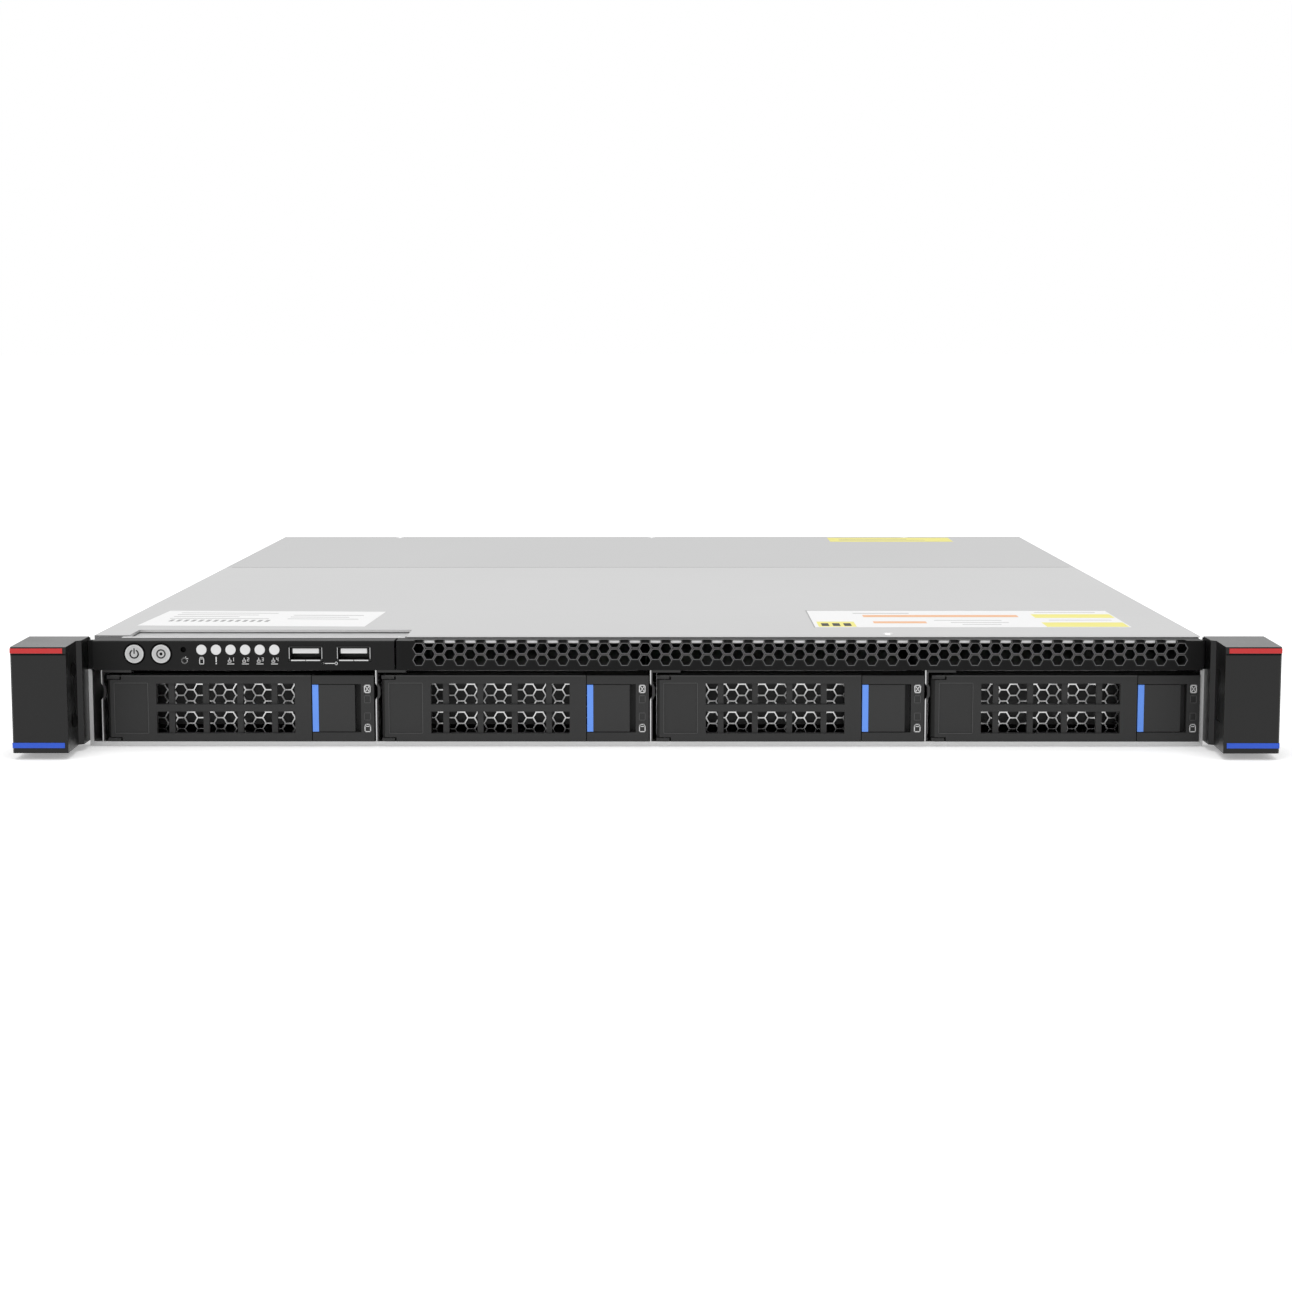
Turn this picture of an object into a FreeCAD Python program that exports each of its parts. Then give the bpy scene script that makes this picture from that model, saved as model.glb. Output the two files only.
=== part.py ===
"""One-unit rack server with four hot-swap drive bays, as a FreeCAD document.

Frame: X across the front, Y back into the rack, Z up, millimetres.
X = 0 is the middle of the width, Y = 0 the face that meets the rack posts, Z = 0 the underside.
"""
import FreeCAD
import Part
import Sketcher
import math
import os
import re

doc = FreeCAD.newDocument("rack_server")
sheet = doc.addObject("Spreadsheet::Sheet", "sizes")

# ---------------------------------------------------------------- driving sizes
# A number drives the part; a text that starts with = is worked out from other sizes.
SIZES = {
    "chassis": {
        "body_width": 438, "body_height": 42.6, "front_edge": -5.3, "rear_face": 505.7,
        "wall": 1.2, "cover_wall": 1.0, "fit_gap": 0.3, "slide_gap": 0.5,
        "shelf_height": "=body_height - 7.2", "flange_width": 4.6, "flange_height": "=body_height - 1.4",
        "strip_top": "=body_height - 12", "hem_depth": 8, "hem_wall": 0.7,
        "wall_notch_back": 6.0, "flange_notch_back": 31.0,
        "rail_slot_long": 12, "rail_slot_rise": 4.5, "rail_slot_height": "=body_height / 2",
        "rail_slot_first": 60,
        "rail_slot_pitch": "=(rear_face - 145.7) / 2",
    },
    "covers": {
        "cover_front": 6.7, "cover_lip_low": "=shelf_height + 1.7", "rear_cover_length": 201,
        "cover_seam": "=rear_face - rear_cover_length",
        "panel_step_left": "=bezel_left + 11.3", "panel_step_right": "=bezel_right + 3.6",
        "panel_step_back": 25.3, "bridge_wall": 1.0, "bridge_front": 6.2, "bridge_back": 30,
    },
    "bezel and grille": {
        "bezel_face": -8.6, "bezel_back": 6.0, "bezel_width": 118.1,
        "bezel_left": "=2.7 - body_width / 2", "bezel_right": "=bezel_left + bezel_width",
        "bezel_top": "=body_height - 0.4",
        "bezel_wall": 1.8, "bezel_roof": 0.9, "strip_gap": 0.8, "grille_left": "=bezel_right + strip_gap",
        "grille_right": "=body_width / 2 - 1.5", "grille_wall": 1.5, "lip_depth": 5,
        "hole_across": 3.94, "hole_pitch": 8.05, "hole_margin": 8.8,
        "hole_first": "=grille_left + hole_margin",
        "hole_columns": "=floor((grille_right - hole_margin - hole_first) / hole_pitch + 0.1) + 1",
        "hole_row": "=bezel_top - 3",
    },
    "controls": {
        "power_button_place": "=bezel_left + 16.34", "id_button_place": "=bezel_left + 26.84",
        "button_height": "=strip_top + 6.49", "button_radius": 3.6,
        "button_collar": 4.1, "collar_wall": 1.0, "plunger_half": 1.5, "button_travel": 0.8,
        "button_proud": 0.5, "reset_place": "=bezel_left + 35.5",
        "reset_height": "=strip_top + 8.1", "reset_radius": 0.8, "reset_depth": 1.2,
        "lamp_first": "=bezel_left + 42.62", "lamp_pitch": 5.71, "lamp_radius": 2.0,
        "lamp_height": "=strip_top + 8.08", "usb_first": "=bezel_left + 83.35", "usb_pitch": 18.85,
        "usb_height": "=strip_top + 6.5", "usb_width": 13.2,
        "usb_rise": 5.8, "usb_depth": 11, "usb_wall": 0.5, "board_face": 2.8, "board_wall": 1.6,
        "board_left": "=bezel_left + 4.3", "board_right": "=bezel_right - 5.8",
        "board_low": "=strip_top + 0.9", "board_high": "=strip_top + 9.4",
    },
    "rack ears": {
        "ear_face": -36.9, "ear_low": 2.4, "ear_high": "=body_height + 0.6",
        "ear_inner": "=body_width / 2 + 1", "ear_width": 21.3, "ear_outer": "=ear_inner + ear_width",
        "ear_flare": 1.3, "ear_neck": -15.5, "ear_wall": 3, "ear_plate": 2.0, "ear_leg_wall": 1.5,
        "ear_leg_length": 40, "ear_leg_low": 5, "ear_leg_high": "=body_height - 8.6",
        "rack_hole_place": "=body_width / 2 + 13.55", "rack_hole_radius": 3.4,
        "rack_hole_spacing": 31.75, "inlay_wall": 0.6, "inlay_seat": 0.4, "red_low": "=ear_high - 2.4",
        "red_high": "=ear_high - 0.5",
        "blue_low": 4.4, "blue_high": 6.4, "inlay_inset": 1.3, "grip_height": 13, "grip_rise": 20,
    },
    "drive bays": {
        "bay_count": 4, "bay_right": "=body_width / 2 - wall",
        "bay_pitch": "=(2 * bay_right - 3.6) / bay_count", "sheet_wall": 1.0, "partition_front": -4.8,
        "partition_back": "=backplane_face - 2", "partition_flange": 12,
        "partition_top": "=strip_top - 0.4", "bead_low": 18.3, "bead_high": 25,
        "bead_bulge": 0.9,
    },
    "carrier": {
        "carrier_low": 2.0, "carrier_high": "=strip_top - 2.4", "carrier_face": -6.3, "frame_left": 2.6,
        "frame_right": "=bay_pitch - 0.5",
        "frame_front": -1.2, "frame_back": 8, "frame_wall": 1.4, "side_wall": 1.2,
        "latch_body_left": "=bay_pitch - 24.8",
        "pocket_right": "=bay_pitch - 5.6", "pocket_low": 5.6, "pocket_high": "=carrier_high - 3.4",
        "pocket_depth": 4.6,
        "lamp_window_place": "=bay_pitch - 3.05", "lamp_window_width": 2.3, "lamp_window_rise": 2.8,
        "lamp_window_low": 11.95,
        "lamp_window_high": 18.8, "window_seat": 0.5,
        "lug_right": 7.6, "lug_front": -6.0, "pivot_place": 5.8, "pivot_depth": -4.8, "pivot_radius": 0.9,
        "pivot_gap": 0.1,
    },
    "lever": {
        "lever_bevel": 3.8, "lever_right": "=latch_body_left - 0.3", "lever_wall": 3,
        "lever_lug_reach": 8.2, "lever_lug_rise": 1.7,
        "window_left": 21.9, "window_right": "=lever_right - 6.5", "window_low": 5.2,
        "window_high": "=carrier_high - 3.2", "bar_low": "=(window_low + window_high) / 2 - 1.2",
        "bar_high": "=bar_low + 2.8", "rib_first": "=window_left + 4.7",
        "rib_pitch": "=(window_right - window_left - 0.5) / rib_count", "rib_width": 2.3, "rib_count": 4,
        "rib_inset": 1.0,
        "pad_left": 5.4, "pad_right": 18.6, "pad_low": 5.3, "pad_high": "=carrier_high - 3",
        "pad_seat": 0.3,
    },
    "latch": {
        "latch_left": "=latch_body_left + 0.1", "latch_right": "=pocket_right - 2.4", "latch_travel": 2.2,
        "latch_front": -6.0, "latch_wall": 2.6,
        "latch_band": 2.4, "latch_band_proud": 0.2,
    },
    "tray and drive": {
        "tray_wall": 0.8, "tray_left": 2.4, "tray_back": "=drive_front + drive_length - 2",
        "tray_high": "=carrier_high - 0.4", "rail_height": 18,
        "mesh_columns": 4, "mesh_pitch": "=(window_right - window_left) / mesh_columns", "mesh_web": 1.27,
        "mesh_hole": "=mesh_pitch / sqrt(3) - mesh_web",
        "mesh_first": "=window_left + 0.35 * mesh_pitch", "mesh_low": 7.4,
        "drive_width": "=bay_pitch - 6.4", "drive_length": 147, "drive_height": "=carrier_high - 2.1",
        "drive_front": 13, "drive_low": 1.9,
        "drive_board": 4, "drive_edge": 1.5,
    },
    "backplane": {
        "backplane_face": "=drive_front + drive_length + 10", "backplane_wall": 2.0,
        "backplane_high": "=body_height - 3.6", "socket_width": 42, "socket_rise": 6.5,
        "socket_low": 5, "vent_low": 17, "vent_high": 30, "vent_width": 30,
    },
    "fans": {
        "fan_size": "=body_height - 2.6", "fan_depth": 28, "fan_front": "=backplane_face + 30",
        "fan_first": "=39 - body_width / 2", "fan_pitch": 70, "fan_count": 4,
        "fan_bore": "=fan_size / 2 - 1.4", "rotor_radius": "=fan_bore - 1.7", "hub_radius": 9,
        "hub_length": 22, "blade_wall": 1.2,
        "blade_chord": 15, "blade_pitch_angle": 38, "strut_width": 3, "strut_wall": 2.5,
        "shaft_radius": 1.5,
        "side_vent_first": "=fan_first + (fan_count - 1) * fan_pitch + fan_size / 2 + 20",
        "side_vent_pitch": "=(body_width / 2 - side_vent_first - 5) / side_vent_count",
        "side_vent_count": 4,
        "side_vent_rib": 8, "side_vent_low": 10, "side_vent_high": "=body_height - 10.6",
    },
    "mainboard": {
        "mainboard_left": "=5 - body_width / 2", "mainboard_right": "=psu_left - 4",
        "mainboard_front": "=fan_front + fan_depth + 8", "mainboard_back": "=rear_face - 9.7",
        "mainboard_low": 6.2, "mainboard_wall": 1.6, "standoff_across": 5.5,
        "sink_width": "=sink_pitch - 37", "sink_length": 100, "sink_front": "=mainboard_front + 36",
        "sink_base": 4, "sink_high": "=body_height - 6.6", "sink_fins": 13,
        "fin_wall": 0.8, "sink_first": "=mainboard_left + 42",
        "sink_pitch": "=(mainboard_right - mainboard_left - 40) / 2", "sink_seat": 3,
        "module_length": 133.35, "module_wall": 3.8, "module_high": "=body_height - 4.3",
        "module_front": "=mainboard_front + 20", "module_pitch": 8.6,
        "module_groups": 3, "module_count": 4, "shroud_wall": 1.2, "shroud_front": "=mainboard_front - 4",
        "shroud_back": "=sink_front + sink_length + 28",
        "shroud_low": 9,
    },
    "rear": {
        "rear_wall": 1.2, "rear_high": "=flange_height", "psu_count": 2, "psu_width": 73.5,
        "psu_height": "=body_height - 3.6", "psu_length": 185,
        "psu_right": "=body_width / 2 - 10.4", "psu_gap": 1.6,
        "psu_left": "=psu_right - psu_count * psu_width - (psu_count - 1) * psu_gap", "psu_low": 1.6,
        "psu_guide": 0.8, "inlet_width": 24, "inlet_rise": 16.4,
        "inlet_depth": 16, "handle_reach": 22, "handle_wall": 4, "handle_rise": 26, "psu_latch_wall": 2,
        "psu_latch_rise": 16, "psu_latch_travel": 3, "slot_left": "=mainboard_left + 8",
        "slot_right": "=slot_left + 110", "slot_low": "=slot_high - 17",
        "slot_high": "=body_height - 5.6", "slot_plate": 0.8, "vent_slot_width": 4, "vent_slot_count": 12,
        "lan_first": "=mainboard_right - 50",
        "lan_pitch": 18, "lan_count": 3, "lan_width": 15.5, "lan_rise": 13, "lan_depth": 16,
        "lan_mouth": 11.8,
        "lan_mouth_rise": 8.4, "lan_mouth_depth": 12, "bus_place": "=lan_first - 24", "bus_rise": 15,
        "video_place": "=lan_first - 52",
        "port_window_left": "=video_place - 16",
        "port_window_right": "=lan_first + (lan_count - 1) * lan_pitch + lan_width / 2 + fit_gap",
        "port_window_low": "=mainboard_low + mainboard_wall - fit_gap",
        "port_window_high": "=mainboard_low + mainboard_wall + bus_rise + fit_gap", "air_slot_left": 40,
        "air_slot_right": 69, "air_slot_low": 7,
        "air_slot_pitch": 5.4, "air_slot_rise": 2.6, "air_slot_depth": 3, "air_slot_count": 5,
    },
}


def fill_sheet():
    """Write every size into the sheet, one named cell each: first the names, then the values."""
    cells = {}
    line = 1
    for group, sizes in SIZES.items():
        sheet.set(f"A{line}", group)
        line += 1
        for name, value in sizes.items():
            sheet.set(f"A{line}", name)
            sheet.setAlias(f"B{line}", name)
            cells[f"B{line}"] = str(value)
            line += 1
    for cell, value in cells.items():
        sheet.set(cell, value)


fill_sheet()
doc.recompute()
ALIASES = {name for sizes in SIZES.values() for name in sizes}


def formula(text):
    """Sheet formula in which each size name points at its cell."""
    return re.sub(r"[a-z_]+", lambda m: f"sizes.{m[0]}" if m[0] in ALIASES else m[0], str(text))


def size(name):
    """Present value of one driving size."""
    return float(sheet.get(name))


def bind(thing, **formulas):
    """Tie properties of an object to sheet formulas; x, y and z are its place."""
    for name, text in formulas.items():
        path = f"Placement.Base.{name}" if name in ("x", "y", "z") else name
        thing.setExpression(path, formula(text))
    return thing


# ---------------------------------------------------------------- sketches and features
def origin_part(body, role):
    """One of a body's own origin planes or axes."""
    return next(feature for feature in body.Origin.OriginFeatures if feature.Role == role)


def new_body(name):
    return doc.addObject("PartDesign::Body", name)


def new_sketch(body, role, name, depth="0"):
    """Sketch on an origin plane of the body, moved along its normal by a formula."""
    sketch = body.newObject("Sketcher::SketchObject", name)
    sketch.AttachmentSupport = [(origin_part(body, role), "")]
    sketch.MapMode = "FlatFace"
    sketch.setExpression("AttachmentOffset.Base.z", formula(depth))
    return sketch


def pin_down(sketch, element, point, corner):
    """Fix one sketch point by two dimensions from the sketch origin."""
    for kind, text in zip(("DistanceX", "DistanceY"), corner):
        index = sketch.addConstraint(Sketcher.Constraint(kind, -1, 1, element, point, 1.0))
        sketch.setExpression(f"Constraints[{index}]", formula(text))


def polygon(sketch, corners):
    """Closed outline through corners given as pairs of formulas."""
    first = sketch.GeometryCount
    count = len(corners)
    rough = [FreeCAD.Vector(math.cos(2 * math.pi * k / count), math.sin(2 * math.pi * k / count), 0)
             for k in range(count)]
    for k in range(count):
        sketch.addGeometry(Part.LineSegment(rough[k], rough[(k + 1) % count]), False)
    for k in range(count):
        sketch.addConstraint(Sketcher.Constraint("Coincident", first + k, 2, first + (k + 1) % count, 1))
    for k, corner in enumerate(corners):
        pin_down(sketch, first + k, 1, corner)


def rectangle(sketch, left, right, low, high):
    polygon(sketch, [(left, low), (right, low), (right, high), (left, high)])


def circle(sketch, across, up, radius):
    element = sketch.addGeometry(Part.Circle(FreeCAD.Vector(0, 0, 0), FreeCAD.Vector(0, 0, 1), 1), False)
    pin_down(sketch, element, 3, (across, up))
    index = sketch.addConstraint(Sketcher.Constraint("Radius", element, 1.0))
    sketch.setExpression(f"Constraints[{index}]", formula(radius))


def hexagon(sketch, across, up, flats):
    """Regular hexagon with flat top and bottom, by its size across flats."""
    points = [(math.cos(math.radians(60 * k)) / math.sqrt(3), math.sin(math.radians(60 * k)) / math.sqrt(3))
              for k in range(6)]
    polygon(sketch, [(f"{across} + ({flats}) * {u:.6f}", f"{up} + ({flats}) * {v:.6f}") for u, v in points])


def feature(body, kind, name, profile, length, backward):
    """Pads grow along the sketch's normal and pockets cut against it; backward swaps either."""
    item = body.newObject(f"PartDesign::{kind}", name)
    item.Profile = profile
    item.setExpression("Length", formula(length))
    item.Reversed = backward
    doc.recompute()
    return item


def pad(body, name, profile, length, backward=False):
    return feature(body, "Pad", name, profile, length, backward)


def pocket(body, name, profile, length, backward=False):
    """Cut a profile out of the body, and stop if nothing was cut."""
    before = body.Shape.Volume
    item = feature(body, "Pocket", name, profile, length, backward)
    if item.Shape.Volume > before - 1e-6:
        raise RuntimeError(f"{body.Name}: {name} cut nothing")
    return item


def row(body, name, features, role, pitch, count):
    """Repeat features along one of the body's origin axes."""
    item = body.newObject("PartDesign::LinearPattern", name)
    item.Originals = features
    item.Direction = (origin_part(body, role), [""])
    item.Mode = "Spacing"
    item.setExpression("Offset", formula(pitch))
    item.setExpression("Occurrences", formula(count))
    body.Tip = item
    doc.recompute()
    return item


def front_sketch(body, name, at):
    """Sketch seen from the front (X across, Z up) at depth `at`; pads go back with backward=True."""
    return new_sketch(body, "XZ_Plane", name, f"-({at})")


def plan_sketch(body, name, at):
    """Sketch seen from above (X across, Y back) at height `at`."""
    return new_sketch(body, "XY_Plane", name, at)


def side_sketch(body, name, at):
    """Sketch seen from the side (Y across, Z up) at X `at`."""
    return new_sketch(body, "YZ_Plane", name, at)


# ---------------------------------------------------------------- primitives
def block(name, left, right, front, back, low, high):
    """Box between six formulas."""
    box = doc.addObject("Part::Box", name)
    return bind(box, Length=f"({right}) - ({left})", Width=f"({back}) - ({front})", Height=f"({high}) - ({low})",
                x=left, y=front, z=low)


def rod(name, radius, length, x, y, z, along="z"):
    """Cylinder that starts at a place and runs along +Y or +Z."""
    cylinder = doc.addObject("Part::Cylinder", name)
    if along == "y":
        cylinder.Placement.Rotation = FreeCAD.Rotation(FreeCAD.Vector(1, 0, 0), -90)
    return bind(cylinder, Radius=radius, Height=length, x=x, y=y, z=z)


def prism(name, sides, radius, length, x, y, z):
    """Upright-sided prism that starts at a place and runs along +Y."""
    solid = doc.addObject("Part::Prism", name)
    solid.Polygon = sides
    solid.Placement.Rotation = FreeCAD.Rotation(FreeCAD.Vector(1, 0, 0), -90)
    return bind(solid, Circumradius=radius, Height=length, x=x, y=y, z=z)


def fused(name, pieces):
    result = doc.addObject("Part::MultiFuse", name)
    result.Shapes = pieces
    return result


def cut(name, base, tools):
    """Base with every tool cut away."""
    gathered = doc.addObject("Part::Compound", f"{name}_tools")
    gathered.Links = tools
    result = doc.addObject("Part::Cut", name)
    result.Base = base
    result.Tool = gathered
    return result


def group(name, pieces):
    """Separate solids that share one node."""
    result = doc.addObject("Part::Compound", name)
    result.Links = pieces
    return result


def placed(name, master, **place):
    """Copy of a piece, moved by formulas."""
    return bind(group(name, [master]), **place)


def mirrored(name, master):
    """Copy of a piece on the other side of X = 0."""
    result = doc.addObject("Part::Mirroring", name)
    result.Source = master
    result.Normal = FreeCAD.Vector(1, 0, 0)
    return result


NODES = {}


def node(name, piece):
    """Register a finished sub-part under its node name."""
    piece.Label = name
    NODES[name] = piece
    return piece


HALF = "body_width / 2"
COVER_UNDER = "body_height - cover_wall"
STEP = "(cover_wall + 0.4)"
NECK = f"{HALF} - {STEP} - wall"


# ---------------------------------------------------------------- chassis shell
def chassis_pan():
    """Folded floor and side walls; the walls step inward at the top to clear the cover's lips."""
    body = new_body("chassis_pan_body")
    right = [(HALF, "0"), (HALF, "shelf_height"), (f"{HALF} - {STEP}", f"shelf_height + {STEP}"),
             (f"{HALF} - {STEP}", "flange_height"), (f"{HALF} - flange_width", "flange_height"),
             (f"{HALF} - flange_width", "flange_height - wall"), (NECK, "flange_height - wall"),
             (NECK, f"shelf_height + {STEP}"), (f"{HALF} - wall", "shelf_height"),
             (f"{HALF} - wall", "wall")]
    left = [(f"-({across})", up) for across, up in reversed(right)]
    profile = front_sketch(body, "pan_profile", "front_edge")
    polygon(profile, right + left)
    pad(body, "pan", profile, "rear_face - rear_wall - front_edge", backward=True)
    corner = side_sketch(body, "front_corner", f"-({HALF})")
    rectangle(corner, "front_edge - 1", "wall_notch_back", "strip_top", "flange_height + 1")
    pocket(body, "front_corners", corner, "body_width", backward=True)
    flange = side_sketch(body, "front_flange", f"-({NECK})")
    rectangle(flange, "front_edge", "flange_notch_back", "flange_height - wall - 1", "flange_height + 1")
    pocket(body, "front_flanges", flange, f"2 * ({NECK})", backward=True)
    hem = plan_sketch(body, "hem_outline", "wall")
    rectangle(hem, f"-({HALF}) + wall", f"{HALF} - wall", "front_edge", "front_edge + hem_depth")
    pad(body, "front_hem", hem, "hem_wall")
    posts = plan_sketch(body, "standoff_outline", "wall")
    for across in ("mainboard_left + 8", "(mainboard_left + mainboard_right) / 2", "mainboard_right - 8"):
        for back in ("mainboard_front + 8", "mainboard_back - 14"):
            hexagon(posts, across, back, "standoff_across")
    pad(body, "standoffs", posts, "mainboard_low - wall")
    hooks = side_sketch(body, "rail_slots", f"-({HALF}) - 1")
    for k in range(3):
        middle = f"rail_slot_first + {k} * rail_slot_pitch"
        rectangle(hooks, f"{middle} - rail_slot_long / 2", f"{middle} + rail_slot_long / 2",
                  "rail_slot_height - rail_slot_rise / 2", "rail_slot_height + rail_slot_rise / 2")
    pocket(body, "rail_slot_cuts", hooks, "body_width + 2", backward=True)
    node("chassis_pan", body)


def covers():
    """Two lids with lips folded down flush with the side walls; they meet at the seam."""
    body = new_body("front_cover_body")
    outline = [(f"-({HALF})", "body_height"), (f"-({HALF})", "cover_lip_low"),
               (f"-({HALF}) + cover_wall", "cover_lip_low"), (f"-({HALF}) + cover_wall", COVER_UNDER)]
    outline += [(f"-({across})", up) for across, up in reversed(outline)]
    profile = front_sketch(body, "front_cover_profile", "cover_front")
    polygon(profile, outline)
    pad(body, "front_cover_sheet", profile, "cover_seam - fit_gap / 2 - cover_front", backward=True)
    step = plan_sketch(body, "panel_step", "body_height + 1")
    rectangle(step, "panel_step_left", "panel_step_right", "cover_front - 1", "panel_step_back")
    pocket(body, "panel_step_cut", step, "cover_wall + 2")
    node("front_cover", body)
    seam = "cover_seam + fit_gap / 2"
    node("rear_cover", block("rear_cover_sheet", f"-({HALF})", HALF, seam, "rear_face", COVER_UNDER, "body_height"))
    lip = block("rear_lip", f"{HALF} - cover_wall", HALF, seam, "rear_face", "cover_lip_low", COVER_UNDER)
    node("rear_cover_lips", group("rear_lips", [lip, mirrored("rear_lip_left", lip)]))


def front_bridge():
    """Cross member under the covers' front edge, with a leg that carries the control board."""
    body = new_body("front_bridge_body")
    reach = f"{NECK} - 0.2"
    top = plan_sketch(body, "bridge_top", f"{COVER_UNDER} - fit_gap - bridge_wall")
    rectangle(top, f"-({reach})", reach, "bridge_front", "bridge_back")
    pad(body, "bridge_plate", top, "bridge_wall")
    leg = front_sketch(body, "bridge_leg", "board_face + board_wall")
    rectangle(leg, f"-({reach})", "board_right", "board_low", f"{COVER_UNDER} - fit_gap - bridge_wall")
    pad(body, "bridge_leg_plate", leg, "bridge_front + bridge_wall - board_face - board_wall", backward=True)
    node("front_bridge", body)


def rear_panel():
    """Rear wall with the power supply bay, the expansion slot, one window for the ports and air slots."""
    body = new_body("rear_panel_body")
    inner = f"{NECK} - 0.2"
    plate = front_sketch(body, "rear_outline", "rear_face - rear_wall")
    rectangle(plate, f"-({inner})", inner, "wall", "rear_high")
    pad(body, "rear_plate", plate, "rear_wall", backward=True)
    holes = front_sketch(body, "rear_windows", "rear_face")
    rectangle(holes, "psu_left - slide_gap", "psu_right + slide_gap", "wall - 1",
              "rear_high + 1")
    rectangle(holes, "slot_left", "slot_right", "slot_low", "slot_high")
    rectangle(holes, "port_window_left", "port_window_right", "port_window_low", "port_window_high")
    pocket(body, "rear_window_cuts", holes, "rear_wall + 1", backward=True)
    slot = front_sketch(body, "vent_outline", "rear_face")
    rectangle(slot, "slot_left", "slot_left + vent_slot_width", "mainboard_low + 3", "slot_low - 3")
    vent = pocket(body, "vent_slot", slot, "rear_wall + 1", backward=True)
    row(body, "vent_slots", [vent], "X_Axis", "(slot_right - slot_left) / vent_slot_count", "vent_slot_count")
    guide = plan_sketch(body, "guide_outline", "wall")
    middle = "psu_right - psu_width - psu_gap / 2"
    rectangle(guide, f"{middle} - psu_guide / 2", f"{middle} + psu_guide / 2", "rear_face - psu_length + 20",
              "rear_face")
    pad(body, "psu_guide_wall", guide, "psu_low + psu_height - wall")
    node("rear_panel", body)


# ---------------------------------------------------------------- front strip
def front_grille():
    """Moulded strip, folded back over the top, pierced by a honeycomb that runs across the fold."""
    body = new_body("front_grille_body")
    face = side_sketch(body, "grille_profile", "grille_left")
    polygon(face, [("bezel_face", "strip_top"), ("bezel_face + lip_depth", "strip_top"),
                   ("bezel_face + lip_depth", "strip_top + 1.0"), ("bezel_face + grille_wall", "strip_top + 1.2"),
                   ("bezel_face + grille_wall", "bezel_top - grille_wall"), ("bezel_back", "bezel_top - grille_wall"),
                   ("bezel_back", "bezel_top"), ("bezel_face", "bezel_top")])
    pad(body, "grille_strip", face, "grille_right - grille_left")
    for name, left, right in (("left_end", "grille_left", "grille_left + grille_wall"),
                              ("right_end", "grille_right - grille_wall", "grille_right")):
        end = front_sketch(body, f"{name}_outline", "bezel_face")
        rectangle(end, left, right, "strip_top", "bezel_top")
        pad(body, name, end, "bezel_back - bezel_face", backward=True)
    rise = "(hole_pitch / sqrt(3))"
    through = "grille_wall + 0.3"
    main = front_sketch(body, "main_holes", "bezel_face - 0.1")
    for down in (0, 1):
        hexagon(main, "hole_first", f"hole_row - {down} * {rise}", "hole_across")
    between = front_sketch(body, "between_holes", "bezel_face - 0.1")
    for down in (-0.5, 0.5):
        hexagon(between, "hole_first + hole_pitch / 2", f"hole_row - {down} * {rise}", "hole_across")
    over = plan_sketch(body, "fold_holes", "bezel_top + 0.1")
    hexagon(over, "hole_first + hole_pitch / 2", f"bezel_face + hole_row + 0.5 * {rise} - bezel_top", "hole_across")
    top = plan_sketch(body, "top_holes", "bezel_top + 0.1")
    hexagon(top, "hole_first", f"bezel_face + hole_row + {rise} - bezel_top", "hole_across")
    main_cut = pocket(body, "main_cut", main, through)
    top_cut = pocket(body, "top_cut", top, through)
    row(body, "main_columns", [main_cut, top_cut], "X_Axis", "hole_pitch", "hole_columns")
    between_cut = pocket(body, "between_cut", between, through)
    over_cut = pocket(body, "fold_cut", over, through)
    row(body, "between_columns", [between_cut, over_cut], "X_Axis", "hole_pitch", "hole_columns - 1")
    node("front_grille", body)


def control_panel_bezel():
    """Moulded cover of the control panel, with holes for buttons, lamps and sockets."""
    body = new_body("control_panel_bezel_body")
    shell = side_sketch(body, "bezel_profile", "bezel_left")
    polygon(shell, [("bezel_face", "strip_top"), ("bezel_face + lip_depth", "strip_top"),
                    ("bezel_face + lip_depth", "strip_top + 0.9"), ("bezel_face + bezel_wall", "strip_top + 0.9"),
                    ("bezel_face + bezel_wall", "bezel_top - bezel_roof"), ("bezel_back", "bezel_top - bezel_roof"),
                    ("bezel_back", "bezel_top"), ("bezel_face + 0.4", "bezel_top"), ("bezel_face", "bezel_top - 0.4")])
    pad(body, "bezel_shell", shell, "bezel_right - bezel_left")
    holes = front_sketch(body, "bezel_holes", "bezel_face - 0.1")
    for place in ("power_button_place", "id_button_place"):
        circle(holes, place, "button_height", "button_radius + fit_gap")
    circle(holes, "reset_place", "reset_height", "reset_radius + fit_gap")
    for k in range(6):
        circle(holes, f"lamp_first + {k} * lamp_pitch", "lamp_height", "lamp_radius + 0.05")
    for k in range(2):
        middle = f"usb_first + {k} * usb_pitch"
        rectangle(holes, f"{middle} - usb_width / 2 - 0.2", f"{middle} + usb_width / 2 + 0.2",
                  "usb_height - usb_rise / 2 - 0.2", "usb_height + usb_rise / 2 + 0.2")
    pocket(body, "bezel_hole_cuts", holes, "bezel_wall + 0.3")
    node("control_panel_bezel", body)


def collar(name, place, height, half):
    """Square flange that keeps a button behind the bezel."""
    front = "bezel_face + bezel_wall + fit_gap"
    return block(f"{name}_collar", f"{place} - {half}", f"{place} + {half}", front, f"{front} + collar_wall",
                 f"{height} - {half}", f"{height} + {half}")


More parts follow.
